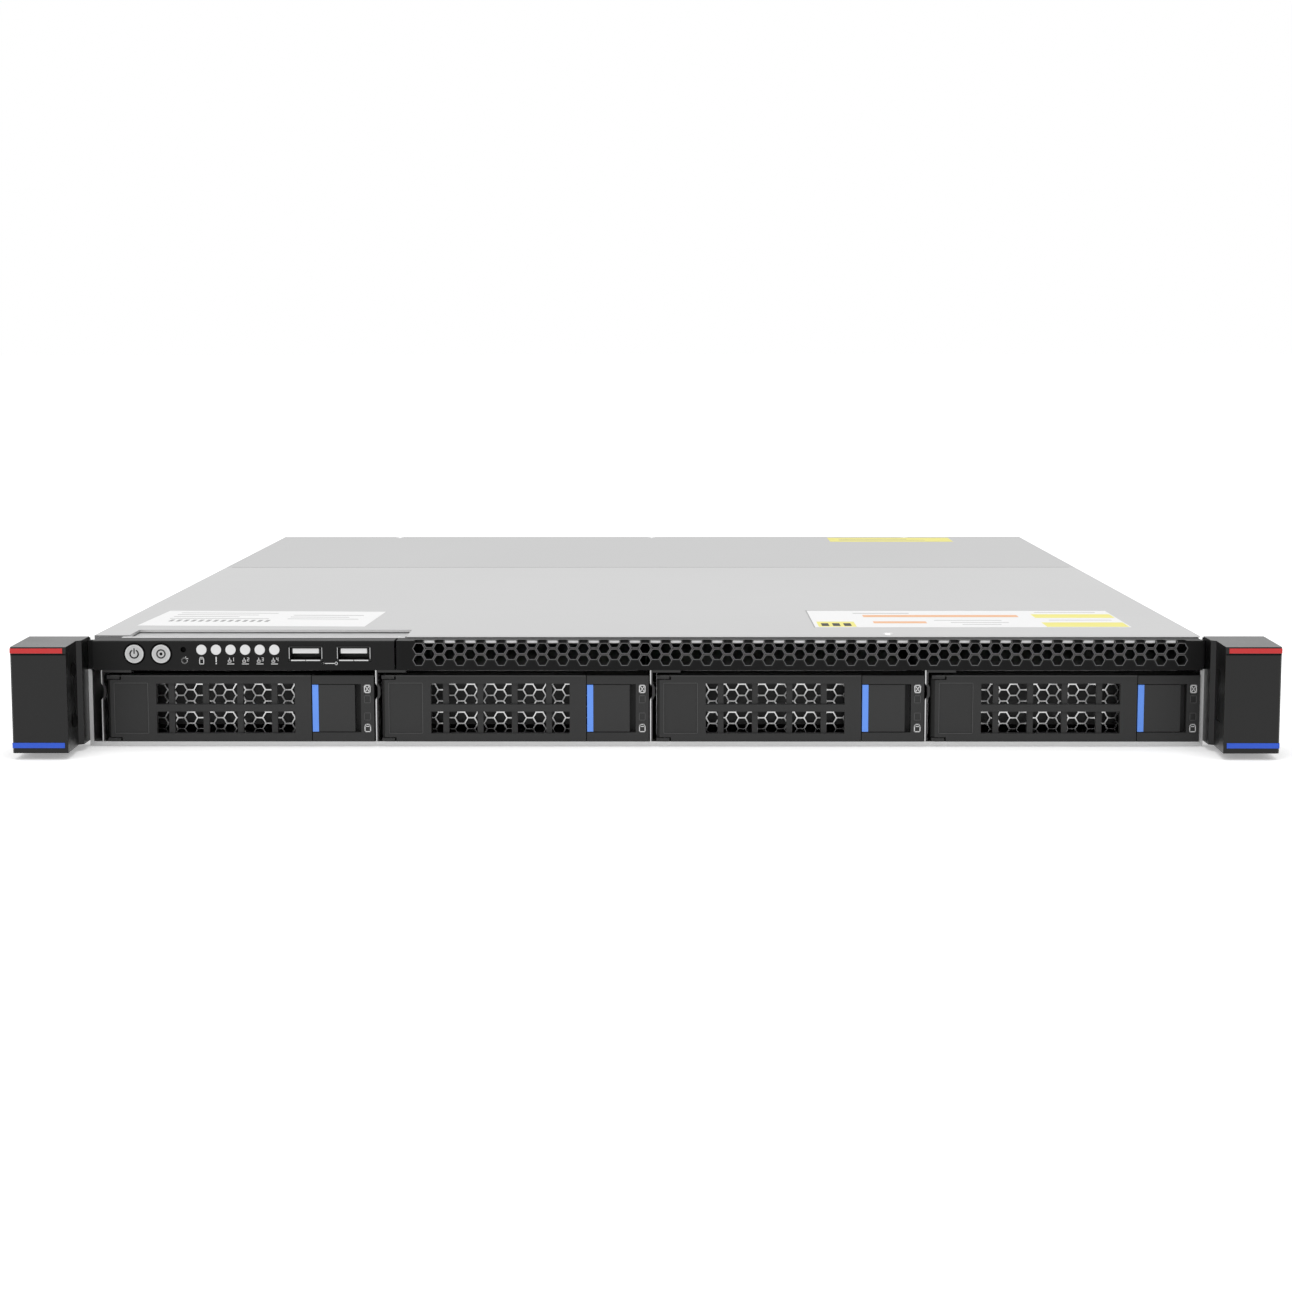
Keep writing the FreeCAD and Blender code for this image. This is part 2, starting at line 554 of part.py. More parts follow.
def control_parts():
    """Control board with its lamps' light pipes, sockets and buttons."""
    node("control_board", block("board", "board_left", "board_right", "board_face", "board_face + board_wall",
                                "board_low", "board_high"))
    pipes = [rod(f"pipe_{k}", "lamp_radius", "board_face - bezel_face + 0.1", f"lamp_first + {k} * lamp_pitch",
                 "bezel_face - 0.1", "lamp_height", along="y") for k in range(6)]
    node("status_lenses", group("pipes", pipes))
    sockets = []
    for k in range(2):
        middle = f"usb_first + {k} * usb_pitch"
        sides = (f"{middle} - usb_width / 2", f"{middle} + usb_width / 2")
        floor, roof = "usb_height - usb_rise / 2", "usb_height + usb_rise / 2"
        shell = block(f"usb_{k}_shell", *sides, "bezel_face + 0.2", "board_face", floor, roof)
        mouth = block(f"usb_{k}_mouth", f"{sides[0]} + usb_wall", f"{sides[1]} - usb_wall", "bezel_face",
                      "board_face - 1.5", f"{floor} + usb_wall", f"{roof} - usb_wall")
        tongue = block(f"usb_{k}_tongue", f"{sides[0]} + 1.0", f"{sides[1]} - 1.0", "bezel_face + 1.2",
                       "board_face - 1.0", "usb_height + 0.1", "usb_height + 1.9")
        sockets.append(fused(f"usb_{k}", [cut(f"usb_{k}_can", shell, [mouth]), tongue]))
    node("usb_ports", group("usb_pair", sockets))
    for name, place in (("power_button", "power_button_place"), ("id_button", "id_button_place")):
        cap = rod(f"{name}_cap", "button_radius", "bezel_wall + fit_gap + button_proud", place,
                  "bezel_face - button_proud", "button_height", along="y")
        stem = block(f"{name}_stem", f"{place} - plunger_half", f"{place} + plunger_half",
                     "bezel_face + bezel_wall + fit_gap", "board_face - button_proud - button_travel",
                     "button_height - plunger_half", "button_height + plunger_half")
        node(name, fused(f"{name}_solid", [cap, stem, collar(name, place, "button_height", "button_collar")]))
    pin = rod("reset_pin", "reset_radius", "bezel_wall - reset_depth + fit_gap", "reset_place",
              "bezel_face + reset_depth", "reset_height", along="y")
    stem = block("reset_stem", "reset_place - reset_radius", "reset_place + reset_radius",
                 "bezel_face + bezel_wall + fit_gap", "board_face - fit_gap - button_travel",
                 "reset_height - reset_radius", "reset_height + reset_radius")
    flange = collar("reset", "reset_place", "reset_height", "reset_radius + 0.8")
    node("reset_button", fused("reset_solid", [pin, stem, flange]))


# ---------------------------------------------------------------- rack ears
def ear_housing():
    """Moulded ear on the right: front block, neck that runs back to the flange, hollow behind."""
    body = new_body("ear_body")
    plan = plan_sketch(body, "ear_plan", "ear_low")
    polygon(plan, [("ear_inner", "ear_face"), ("ear_outer - 0.6", "ear_face"), ("ear_outer", "ear_face + 0.6"),
                   ("ear_outer + ear_flare", "-ear_plate"), (HALF, "-ear_plate"),
                   (HALF, "ear_neck"), ("ear_inner + 0.8", "ear_neck - 1.5")])
    pad(body, "ear_block", plan, "ear_high - ear_low")
    hollow = front_sketch(body, "ear_hollow", "-ear_plate")
    rectangle(hollow, "ear_inner + ear_wall", "ear_outer - ear_wall", "ear_low + ear_wall", "ear_high - ear_wall")
    pocket(body, "ear_hollow_cut", hollow, "-ear_plate - ear_face - ear_wall", backward=True)
    seats = front_sketch(body, "inlay_seats", "ear_face")
    rectangle(seats, "ear_inner + inlay_inset", "ear_outer", "red_low", "red_high")
    rectangle(seats, "ear_inner + inlay_inset", "ear_outer", "blue_low", "blue_high")
    rectangle(seats, "ear_inner", "ear_outer", "red_low - 0.7", "red_low - 0.35")
    pocket(body, "inlay_seat_cuts", seats, "inlay_seat")
    grip = side_sketch(body, "grip_recess", "ear_inner")
    rectangle(grip, "ear_face + 8", "ear_neck - 5", "grip_height", "grip_height + grip_rise")
    pocket(body, "grip_recess_cut", grip, "1.0", backward=True)
    return body


def inlay(name, low, high):
    """Coloured bar let into the front of the right ear."""
    return block(name, "ear_inner + inlay_inset", "ear_outer", "ear_face + inlay_seat - inlay_wall",
                 "ear_face + inlay_seat", low, high)


def ear_bracket():
    """Steel angle on the right: flange with the rack holes, leg along the side wall."""
    body = new_body("ear_bracket_body")
    plan = plan_sketch(body, "bracket_plan", "ear_low")
    polygon(plan, [(HALF, "-ear_plate"), ("ear_outer", "-ear_plate"), ("ear_outer", "0"),
                   (f"{HALF} + ear_leg_wall", "0"), (f"{HALF} + ear_leg_wall", "ear_leg_length"),
                   (HALF, "ear_leg_length")])
    pad(body, "bracket_angle", plan, "ear_high - ear_low - 0.6")
    trim = side_sketch(body, "leg_trim", HALF)
    rectangle(trim, "0.01", "ear_leg_length + 1", "ear_leg_high", "ear_high")
    pocket(body, "leg_trim_cut", trim, "ear_leg_wall", backward=True)
    holes = front_sketch(body, "rack_holes", "-ear_plate")
    for side in (-1, 1):
        circle(holes, "rack_hole_place", f"body_height / 2 + {side} * rack_hole_spacing / 2", "rack_hole_radius")
    pocket(body, "rack_hole_cuts", holes, "ear_plate")
    return body


def rack_ears():
    """Both ears; the left one mirrors the right one."""
    housing = node("ear_housing_right", ear_housing())
    node("ear_housing_left", mirrored("ear_left", housing))
    bracket = node("ear_bracket_right", ear_bracket())
    node("ear_bracket_left", mirrored("bracket_left", bracket))
    for colour in ("red", "blue"):
        bar = inlay(f"{colour}_bar", f"{colour}_low", f"{colour}_high")
        node(f"ear_{colour}_inlays", group(f"{colour}_bars", [bar, mirrored(f"{colour}_bar_left", bar)]))


# ---------------------------------------------------------------- drive bays
def bay_place(k):
    """Left edge of bay k, counted from the left."""
    return f"bay_right - (bay_count - {k}) * bay_pitch"


def bay_partitions():
    """Guide sheets left of each bay: a flange folded over the bay and a pressed bead to steer the carrier."""
    body = new_body("partition_body")
    profile = front_sketch(body, "partition_profile", "partition_front")
    bead = "(bead_high - bead_low) / 4"
    outline = [("0", "wall"), ("sheet_wall", "wall"), ("sheet_wall", "bead_low"),
               ("sheet_wall + bead_bulge", f"bead_low + {bead}"), ("sheet_wall + bead_bulge", f"bead_high - {bead}"),
               ("sheet_wall", "bead_high"), ("sheet_wall", "partition_top - sheet_wall"),
               ("partition_flange", "partition_top - sheet_wall"), ("partition_flange", "partition_top"),
               ("0", "partition_top"), ("0", "bead_high"), ("bead_bulge", f"bead_high - {bead}"),
               ("bead_bulge", f"bead_low + {bead}"), ("0", "bead_low")]
    polygon(profile, outline)
    pad(body, "partition", profile, "partition_back - partition_front", backward=True)
    foot = side_sketch(body, "hem_notch", "-1")
    rectangle(foot, "partition_front - 1", "front_edge + hem_depth + fit_gap", "wall - 1", "wall + hem_wall")
    pocket(body, "hem_notch_cut", foot, "sheet_wall + 2", backward=True)
    sheets = [placed(f"partition_{k + 1}", body, x=bay_place(k)) for k in range(int(size("bay_count")))]
    node("bay_partitions", group("partitions", sheets))


def carrier_frame():
    """Moulded front of a carrier: frame behind the lever, pivot lugs and the latch housing."""
    body = new_body("carrier_frame_body")
    ring = front_sketch(body, "frame_ring", "frame_front")
    rectangle(ring, "frame_left", "frame_right", "carrier_low", "carrier_high")
    pad(body, "frame_block", ring, "frame_back - frame_front", backward=True)
    inside = front_sketch(body, "frame_opening", "frame_back")
    rectangle(inside, "frame_left + side_wall", "latch_body_left - 0.2", "carrier_low + frame_wall",
              "carrier_high - frame_wall")
    pocket(body, "frame_opening_cut", inside, "frame_back - frame_front", backward=True)
    housing = front_sketch(body, "latch_housing", "carrier_face")
    rectangle(housing, "latch_body_left", "frame_right", "carrier_low", "carrier_high")
    pad(body, "latch_housing_pad", housing, "frame_front - carrier_face", backward=True)
    slider = front_sketch(body, "slider_pocket", "carrier_face")
    rectangle(slider, "latch_body_left - 0.3", "pocket_right", "pocket_low", "pocket_high")
    pocket(body, "slider_pocket_cut", slider, "pocket_depth")
    lamps = front_sketch(body, "lamp_windows", "carrier_face")
    for low in ("lamp_window_low", "lamp_window_high"):
        rectangle(lamps, "lamp_window_place - lamp_window_width / 2", "lamp_window_place + lamp_window_width / 2",
                  f"{low} - lamp_window_rise / 2", f"{low} + lamp_window_rise / 2")
    pocket(body, "lamp_window_cuts", lamps, "window_seat")
    lug = plan_sketch(body, "lug_low", "carrier_low")
    rectangle(lug, "frame_left", "lug_right", "lug_front", "frame_front")
    pad(body, "low_lug", lug, "frame_wall")
    lug = plan_sketch(body, "lug_high", "carrier_high - frame_wall")
    rectangle(lug, "frame_left", "lug_right", "lug_front", "frame_front")
    pad(body, "high_lug", lug, "frame_wall")
    bore = plan_sketch(body, "pivot_seat", "carrier_high")
    rectangle(bore, "pivot_place - pivot_radius - pivot_gap", "pivot_place + pivot_radius + pivot_gap",
              "lug_front - 1", "pivot_depth + pivot_radius + pivot_gap")
    pocket(body, "pivot_seats", bore, "carrier_high - carrier_low")
    return body


def carrier_lever():
    """Swinging face of a carrier: bevelled left edge, barred window, label pad and pivot pins."""
    body = new_body("lever_body")
    plan = plan_sketch(body, "lever_plan", "carrier_low")
    polygon(plan, [("lever_bevel", "carrier_face"), ("lever_right", "carrier_face"),
                   ("lever_right", "carrier_face + lever_wall"), ("frame_left", "carrier_face + lever_wall"),
                   ("frame_left", "carrier_face + 1.9")])
    pad(body, "lever_plate", plan, "carrier_high - carrier_low")
    lugs = front_sketch(body, "lug_notches", "carrier_face")
    rectangle(lugs, "frame_left - 1", "lever_lug_reach", "carrier_low - 1", "carrier_low + lever_lug_rise")
    rectangle(lugs, "frame_left - 1", "lever_lug_reach", "carrier_high - lever_lug_rise", "carrier_high + 1")
    pocket(body, "lug_notch_cuts", lugs, "lever_wall")
    window = front_sketch(body, "window_outline", "carrier_face")
    rectangle(window, "window_left", "window_right", "window_low", "window_high")
    pocket(body, "window_cut", window, "lever_wall")
    bar = front_sketch(body, "bar_outline", "carrier_face")
    rectangle(bar, "window_left - 1", "window_right + 1", "bar_low", "bar_high")
    pad(body, "window_bar", bar, "lever_wall", backward=True)
    rib = front_sketch(body, "rib_outline", "carrier_face + rib_inset")
    rectangle(rib, "rib_first", "rib_first + rib_width", "window_low - 1", "window_high + 1")
    first_rib = pad(body, "rib", rib, "lever_wall - rib_inset", backward=True)
    row(body, "ribs", [first_rib], "X_Axis", "rib_pitch", "rib_count")
    label = front_sketch(body, "label_pad", "carrier_face")
    rectangle(label, "pad_left", "pad_right", "pad_low", "pad_high")
    pocket(body, "label_pad_cut", label, "pad_seat")
    pin = plan_sketch(body, "pivot_pin", "carrier_low + 0.2")
    circle(pin, "pivot_place", "pivot_depth", "pivot_radius")
    pad(body, "pivot_pins", pin, "carrier_high - carrier_low - 0.4")
    return body


def carrier_latch():
    """Sliding catch with a coloured band at its left end."""
    plate = block("latch_plate", "latch_left", "latch_right", "latch_front", "latch_front + latch_wall",
                  "pocket_low + fit_gap", "pocket_high - fit_gap")
    band = block("latch_band_bar", "latch_left", "latch_left + latch_band", "latch_front - latch_band_proud",
                 "latch_front + latch_wall", "pocket_low + fit_gap", "pocket_high - fit_gap")
    foot = block("latch_foot", "latch_left + 3", "latch_right - 3", "latch_front + latch_wall",
                 "carrier_face + pocket_depth - 0.2", "pocket_low + 4", "pocket_high - 4")
    return fused("latch_solid", [plate, band, foot])


def carrier_tray():
    """Folded tray: perforated front wall and two side rails that hold the drive."""
    body = new_body("tray_body")
    drive_left = "tray_left + tray_wall + 0.1"
    right = f"{drive_left} + drive_width + 0.1 + tray_wall"
    plan = plan_sketch(body, "tray_plan", "carrier_low")
    polygon(plan, [("tray_left", "frame_back"), (right, "frame_back"), (right, "tray_back"),
                   (f"{right} - tray_wall", "tray_back"), (f"{right} - tray_wall", "frame_back + tray_wall"),
                   ("tray_left + tray_wall", "frame_back + tray_wall"), ("tray_left + tray_wall", "tray_back"),
                   ("tray_left", "tray_back")])
    pad(body, "tray_strip", plan, "tray_high - carrier_low")
    trim = side_sketch(body, "rail_trim", "tray_left")
    polygon(trim, [("frame_back + 12", "tray_high + 1"), ("frame_back + 22", "rail_height"),
                   ("tray_back - 4", "rail_height"), ("tray_back + 1", "rail_height - 5"), ("tray_back + 1", "tray_high + 1")])
    pocket(body, "rail_trim_cut", trim, f"{right} - tray_left", backward=True)
    rise = "(mesh_pitch / sqrt(3))"
    cell = front_sketch(body, "mesh_cell", "frame_back")
    for step in (0, 1):
        hexagon(cell, "mesh_first", f"mesh_low + {step} * {rise} + mesh_hole / 2", "mesh_hole")
    hexagon(cell, "mesh_first + mesh_pitch / 2", f"mesh_low + 0.5 * {rise} + mesh_hole / 2", "mesh_hole")
    first = pocket(body, "mesh_holes", cell, "tray_wall")
    row(body, "mesh", [first], "X_Axis", "mesh_pitch", "mesh_columns")
    return body


def drive_unit():
    """3.5 inch drive: cast body with a stepped lid and the circuit board below."""
    left = "tray_left + tray_wall + 0.1"
    right = f"{left} + drive_width"
    back = "drive_front + drive_length"
    top = "drive_low + drive_height"
    body = new_body("drive_body")
    plan = plan_sketch(body, "drive_plan", "drive_low + drive_board")
    rectangle(plan, left, right, "drive_front", back)
    pad(body, "drive_casting", plan, "drive_height - drive_board - drive_edge")
    lid = plan_sketch(body, "lid_plan", f"{top} - drive_edge")
    polygon(lid, [(f"{left} + 2", "drive_front + 2"), (f"{right} - 2", "drive_front + 2"), (f"{right} - 2", f"{back} - 24"),
                  (f"{right} - 12", f"{back} - 8"), (f"{left} + 12", f"{back} - 8"), (f"{left} + 2", f"{back} - 24")])
    pad(body, "drive_lid", lid, "drive_edge")
    board = plan_sketch(body, "drive_board_plan", "drive_low")
    rectangle(board, f"{left} + 1", f"{right} - 1", "drive_front + 30", back)
    pad(body, "drive_circuit", board, "drive_board")
    return body


def carriers():
    """Four alike carriers, one per bay."""
    masters = {"carrier_frame": carrier_frame(), "carrier_lever": carrier_lever(), "carrier_latch": carrier_latch(),
               "carrier_tray": carrier_tray(), "drive": drive_unit()}
    for k in range(int(size("bay_count"))):
        for name, master in masters.items():
            node(f"{name}_{k + 1}", placed(f"{name}_{k + 1}", master, x=bay_place(k)))


def backplane():
    """Upright board behind the bays, with air slots and a socket for each drive."""
    board = block("backplane_board", f"-({NECK}) + fit_gap", f"{NECK} - fit_gap", "backplane_face",
                  "backplane_face + backplane_wall", "wall", "backplane_high")
    slots = []
    sockets = []
    for k in range(int(size("bay_count"))):
        middle = f"{bay_place(k)} + tray_left + tray_wall + 0.1 + drive_width / 2"
        for side in (-1, 1):
            centre = f"{middle} + {side} * bay_pitch / 4"
            slots.append(block(f"backplane_slot_{k}_{side + 1}", f"{centre} - vent_width / 2",
                               f"{centre} + vent_width / 2", "backplane_face - 1",
                               "backplane_face + backplane_wall + 1", "vent_low", "vent_high"))
        sockets.append(block(f"socket_{k}", f"{middle} - socket_width / 2", f"{middle} + socket_width / 2",
                             "drive_front + drive_length + fit_gap", "backplane_face", "socket_low",
                             "socket_low + socket_rise"))
    node("backplane", fused("backplane_solid", [cut("backplane_cut", board, slots)] + sockets))


# ---------------------------------------------------------------- fans
def fan_centre(k):
    return f"fan_first + {k} * fan_pitch"


def fan_row():
    """Square frames behind a pierced wall, each with struts that carry the rotor's hub."""
    height = "wall + fan_size / 2"
    count = int(size("fan_count"))
    bores = [prism(f"wall_bore_{k}", 16, "fan_bore", "sheet_wall + 2", fan_centre(k), "fan_front - sheet_wall - 1",
                   height) for k in range(count)]
    panel = block("fan_wall_panel", f"-({NECK}) + fit_gap", f"{NECK} - fit_gap",
                  "fan_front - sheet_wall", "fan_front", "wall", "flange_height - wall - 0.1")
    air = []
    for k in range(int(size("side_vent_count"))):
        left = f"side_vent_first + {k} * side_vent_pitch"
        air.append(block(f"side_vent_{k}", left, f"{left} + side_vent_pitch - side_vent_rib",
                         "fan_front - sheet_wall - 1", "fan_front + 1", "side_vent_low", "side_vent_high"))
    node("fan_wall", cut("fan_wall_cut", panel, bores + air))
    frames = []
    for k in range(count):
        centre = fan_centre(k)
        shell = block(f"fan_shell_{k}", f"{centre} - fan_size / 2", f"{centre} + fan_size / 2", "fan_front",
                      "fan_front + fan_depth", "wall", "wall + fan_size")
        bore = prism(f"fan_bore_{k}", 16, "fan_bore", "fan_depth + 2", centre, "fan_front - 1", height)
        back = "fan_front + fan_depth - strut_wall"
        struts = [block(f"fan_strut_{k}_a", f"{centre} - fan_bore - 0.5", f"{centre} + fan_bore + 0.5", back,
                        "fan_front + fan_depth", f"{height} - strut_width / 2", f"{height} + strut_width / 2"),
                  block(f"fan_strut_{k}_b", f"{centre} - strut_width / 2", f"{centre} + strut_width / 2", back,
                        "fan_front + fan_depth", f"{height} - fan_bore - 0.5", f"{height} + fan_bore + 0.5"),
                  block(f"fan_seat_{k}", f"{centre} - hub_radius * 0.7", f"{centre} + hub_radius * 0.7", back,
                        "fan_front + fan_depth", f"{height} - hub_radius * 0.7", f"{height} + hub_radius * 0.7")]
        frames.append(fused(f"fan_frame_{k}", [cut(f"fan_tube_{k}", shell, [bore])] + struts))
    node("fan_frames", group("fan_frame_row", frames))


def fan_rotor():
    """Hub with five pitched blades, centred on its shaft along Y."""
    shaft = rod("rotor_shaft", "shaft_radius", "2", "0", "-1", "0", along="y")
    hub = prism("rotor_hub", 15, "hub_radius", "hub_length", "0", "0", "0")
    blades = []
    for k in range(5):
        blade = doc.addObject("Part::Box", f"blade_{k}")
        bind(blade, Length="blade_wall", Width="blade_chord", Height="rotor_radius - hub_radius + 1.5")
        pitch = FreeCAD.Rotation(FreeCAD.Vector(0, 0, 1), -size("blade_pitch_angle"))
        turn = FreeCAD.Rotation(FreeCAD.Vector(0, 1, 0), 72 * k)
        root = FreeCAD.Vector(-size("blade_wall") / 2, -size("blade_chord") / 2, size("hub_radius") - 1.5)
        middle = FreeCAD.Vector(0, size("hub_length") / 2, 0)
        blade.Placement = FreeCAD.Placement(middle, turn) * FreeCAD.Placement(pitch.multVec(root), pitch)
        blades.append(blade)
    return fused("rotor", [hub, shaft] + blades)


def fan_rotors():
    master = fan_rotor()
    for k in range(int(size("fan_count"))):
        node(f"fan_rotor_{k + 1}", placed(f"rotor_{k}", master, x=fan_centre(k),
                                          y="fan_front + fan_depth - strut_wall - fit_gap - hub_length",
                                          z="wall + fan_size / 2"))


# ---------------------------------------------------------------- mainboard and what stands on it
def mainboard():
    top = "(mainboard_low + mainboard_wall)"
    node("mainboard", block("mainboard_sheet", "mainboard_left", "mainboard_right", "mainboard_front",
                            "mainboard_back", "mainboard_low", top))
    sinks = []
    for k in range(2):
        left = f"sink_first + {k} * sink_pitch"
        base = f"{top} + sink_seat"
        parts = [block(f"sink_{k}_socket", f"{left} + 8", f"{left} + sink_width - 8", "sink_front + 12",
                       "sink_front + sink_length - 12", top, base),
                 block(f"sink_{k}_base", left, f"{left} + sink_width", "sink_front", "sink_front + sink_length", base,
                       f"{base} + sink_base")]
        for fin in range(int(size("sink_fins"))):
            side = f"{left} + {fin} * (sink_width - fin_wall) / (sink_fins - 1)"
            parts.append(block(f"sink_{k}_fin_{fin}", side, f"{side} + fin_wall", "sink_front",
                               "sink_front + sink_length", f"{base} + sink_base", "sink_high"))
        sinks.append(fused(f"sink_{k}", parts))
    node("cpu_heatsinks", group("sinks", sinks))
    modules = []
    for cluster in range(int(size("module_groups"))):
        for k in range(int(size("module_count"))):
            left = (f"sink_first - 5 - module_wall + {cluster} * sink_pitch "
                    f"- {int(size('module_count')) - 1 - k} * module_pitch")
            modules.append(block(f"module_{cluster}_{k}", left, f"{left} + module_wall", "module_front",
                                 "module_front + module_length", top, "module_high"))
    node("memory_modules", group("modules", modules))


def air_shroud():
    """Duct from the fans over the processors and memory: roof and two side walls."""
    body = new_body("air_shroud_body")
    profile = front_sketch(body, "shroud_profile", "shroud_front")
    left, right = "mainboard_left + 1", "mainboard_right - 1"
    top = "flange_height - wall - 0.2"
    under = f"{top} - shroud_wall"
    polygon(profile, [(left, "shroud_low"), (f"{left} + shroud_wall", "shroud_low"), (f"{left} + shroud_wall", under),
                      (f"{right} - shroud_wall", under), (f"{right} - shroud_wall", "shroud_low"),
                      (right, "shroud_low"), (right, top), (left, top)])
    pad(body, "shroud_sheet", profile, "shroud_back - shroud_front", backward=True)
    node("air_shroud", body)


def expansion():
    """Riser board across the slot and the blanking plate of the expansion slot."""
    top = "mainboard_low + mainboard_wall"
    card = block("riser_board", "slot_right + 6", "slot_right + 7.6", "shroud_back + 6", "rear_face - 14", top, "38")
    edge = block("riser_slot", "slot_right - 1", "slot_right + 6", "shroud_back + 10", "rear_face - 24", "24", "32")
    node("riser_card", fused("riser", [card, edge]))
    plate = block("blank_plate", "slot_left - 3", "slot_right + 3", "rear_face - rear_wall - slot_plate",
                  "rear_face - rear_wall", "slot_low - 2", "slot_high + 2")
    node("slot_blank", plate)


def rear_ports():
    """Network, serial bus and video sockets on the mainboard's rear edge."""
    low = "mainboard_low + mainboard_wall"
    ports = []
    for k in range(int(size("lan_count"))):
        middle = f"lan_first + {k} * lan_pitch"
        shell = block(f"lan_{k}_shell", f"{middle} - lan_width / 2", f"{middle} + lan_width / 2",
                      "rear_face - lan_depth", "rear_face + 0.2", low, f"{low} + lan_rise")
        mouth = block(f"lan_{k}_mouth", f"{middle} - lan_mouth / 2", f"{middle} + lan_mouth / 2",
                      "rear_face - lan_mouth_depth", "rear_face + 1", f"{low} + 2", f"{low} + 2 + lan_mouth_rise")
        ports.append(cut(f"lan_{k}", shell, [mouth]))
    left, right = "bus_place - usb_width / 2", "bus_place + usb_width / 2"
    can = block("bus_can", left, right, "rear_face - lan_depth", "rear_face + 0.2", low, f"{low} + bus_rise")
    mouths = []
    tongues = []
    for k in range(2):
        floor = f"{low} + usb_wall + {k} * (bus_rise - usb_wall) / 2"
        roof = f"{floor} + (bus_rise - usb_wall) / 2 - usb_wall"
        mouths.append(block(f"bus_mouth_{k}", f"{left} + usb_wall", f"{right} - usb_wall",
                            "rear_face - lan_mouth_depth", "rear_face + 1", floor, roof))
        tongues.append(block(f"bus_tongue_{k}", f"{left} + 1", f"{right} - 1", "rear_face - lan_mouth_depth - 0.5",
                             "rear_face - 0.8", f"{floor} + 2.6", f"{floor} + 4.4"))
    ports.append(fused("bus_sockets", [cut("bus_shell", can, mouths)] + tongues))
    body = new_body("video_socket_body")
    flange = front_sketch(body, "video_flange", "rear_face - rear_wall - 0.1")
    rectangle(flange, "video_place - 15.4", "video_place + 15.4", low, f"{low} + lan_rise - 0.6")
    pad(body, "video_block", flange, "lan_depth - rear_wall - 0.1")
    shell = front_sketch(body, "video_outline", "rear_face - rear_wall - 0.1")
    polygon(shell, [("video_place - 7.3", f"{low} + 2"), ("video_place + 7.3", f"{low} + 2"),
                    ("video_place + 8.9", f"{low} + 10.2"), ("video_place - 8.9", f"{low} + 10.2")])
    pad(body, "video_shell", shell, "rear_wall + 3.1", backward=True)
    ports.append(body)
    node("rear_sockets", group("rear_socket_row", ports))


# ---------------------------------------------------------------- power supplies
def power_supplies():
    """Two slide-in modules with a pull handle, an inlet and a release latch."""
    left, right = "0", "psu_width"
    back = "rear_face"
    front = f"{back} - psu_length"
    low, high = "psu_low", "psu_low + psu_height"
    case = block("psu_case", left, right, front, back, low, high)
    inlet_left = "12"
    mouth = block("psu_inlet", inlet_left, f"{inlet_left} + inlet_width", f"{back} - inlet_depth", f"{back} + 1",
                  f"{low} + 5", f"{low} + 5 + inlet_rise")
    air = [block(f"psu_air_{k}", "air_slot_left", "air_slot_right", f"{back} - air_slot_depth", f"{back} + 1",
                 f"{low} + air_slot_low + {k} * air_slot_pitch",
                 f"{low} + air_slot_low + {k} * air_slot_pitch + air_slot_rise") for k in range(int(size("air_slot_count")))]
    grip_left, grip_right = f"{right} - 30", f"{right} - 8"
    arms = [block("psu_arm_low", grip_left, grip_right, back, f"{back} + handle_reach", f"{low} + 5",
                  f"{low} + 5 + handle_wall"),
            block("psu_arm_high", grip_left, grip_right, back, f"{back} + handle_reach", f"{low} + 5 + handle_rise - handle_wall",
                  f"{low} + 5 + handle_rise"),
            block("psu_grip", grip_left, grip_right, f"{back} + handle_reach - handle_wall", f"{back} + handle_reach",
                  f"{low} + 5", f"{low} + 5 + handle_rise")]
    master = fused("psu_solid", [cut("psu_shell", case, [mouth] + air)] + arms)
    latch = block("psu_latch_tab", f"{right} - psu_latch_wall - 1.5", f"{right} - 1.5", f"{back} + 0.3",
                  f"{back} + 14", f"{low} + 12", f"{low} + 12 + psu_latch_rise")
    for k in range(int(size("psu_count"))):
        place = f"psu_right - (psu_count - {k}) * psu_width - (psu_count - 1 - {k}) * psu_gap"
        node(f"power_supply_{k + 1}", placed(f"supply_{k}", master, x=place))
        node(f"supply_latch_{k + 1}", placed(f"supply_latch_{k}", latch, x=place))
    board = block("power_board_sheet", "psu_left", "psu_right",
                  f"{front} - 8", f"{front} - 6", "wall", "34")
    plugs = []
    for k in range(int(size("psu_count"))):
        place = f"psu_right - (psu_count - {k}) * psu_width - (psu_count - 1 - {k}) * psu_gap"
        plugs.append(block(f"power_plug_{k}", f"{place} + 12", f"{place} + 60", f"{front} - 6", f"{front} - fit_gap",
                           "6", "18"))
    node("power_board", fused("power_board_solid", [board] + plugs))


# ---------------------------------------------------------------- build, check, write
def check_document():
    for item in doc.Objects:
        bad = {"Invalid", "Error"} & set(item.State)
        if bad:
            raise RuntimeError(f"{item.Name}: {sorted(bad)}")
    for name, piece in NODES.items():
        if piece.Shape.isNull() or not piece.Shape.isValid() or not piece.Shape.Solids:
            raise RuntimeError(f"{name}: no valid solid")


def write_parts():
    os.makedirs("parts", exist_ok=True)
    for name, piece in NODES.items():
        piece.Shape.exportStep(f"parts/{name}.step")


chassis_pan()
covers()
front_bridge()
rear_panel()
front_grille()
control_panel_bezel()
control_parts()
rack_ears()
bay_partitions()
carriers()
backplane()
fan_row()
fan_rotors()
mainboard()
air_shroud()
expansion()
rear_ports()
power_supplies()
doc.recompute()
check_document()
write_parts()
print(f"{len(NODES)} nodes written")
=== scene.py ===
# %% [markdown]
# # Dressing a one-unit rack server
#
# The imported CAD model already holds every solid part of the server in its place. This lesson gives
# those parts their finishes and adds what is too fine for solids: the honeycomb mesh of the drive
# trays, rims in the air holes, marks, labels, screws and the linings of the sockets.

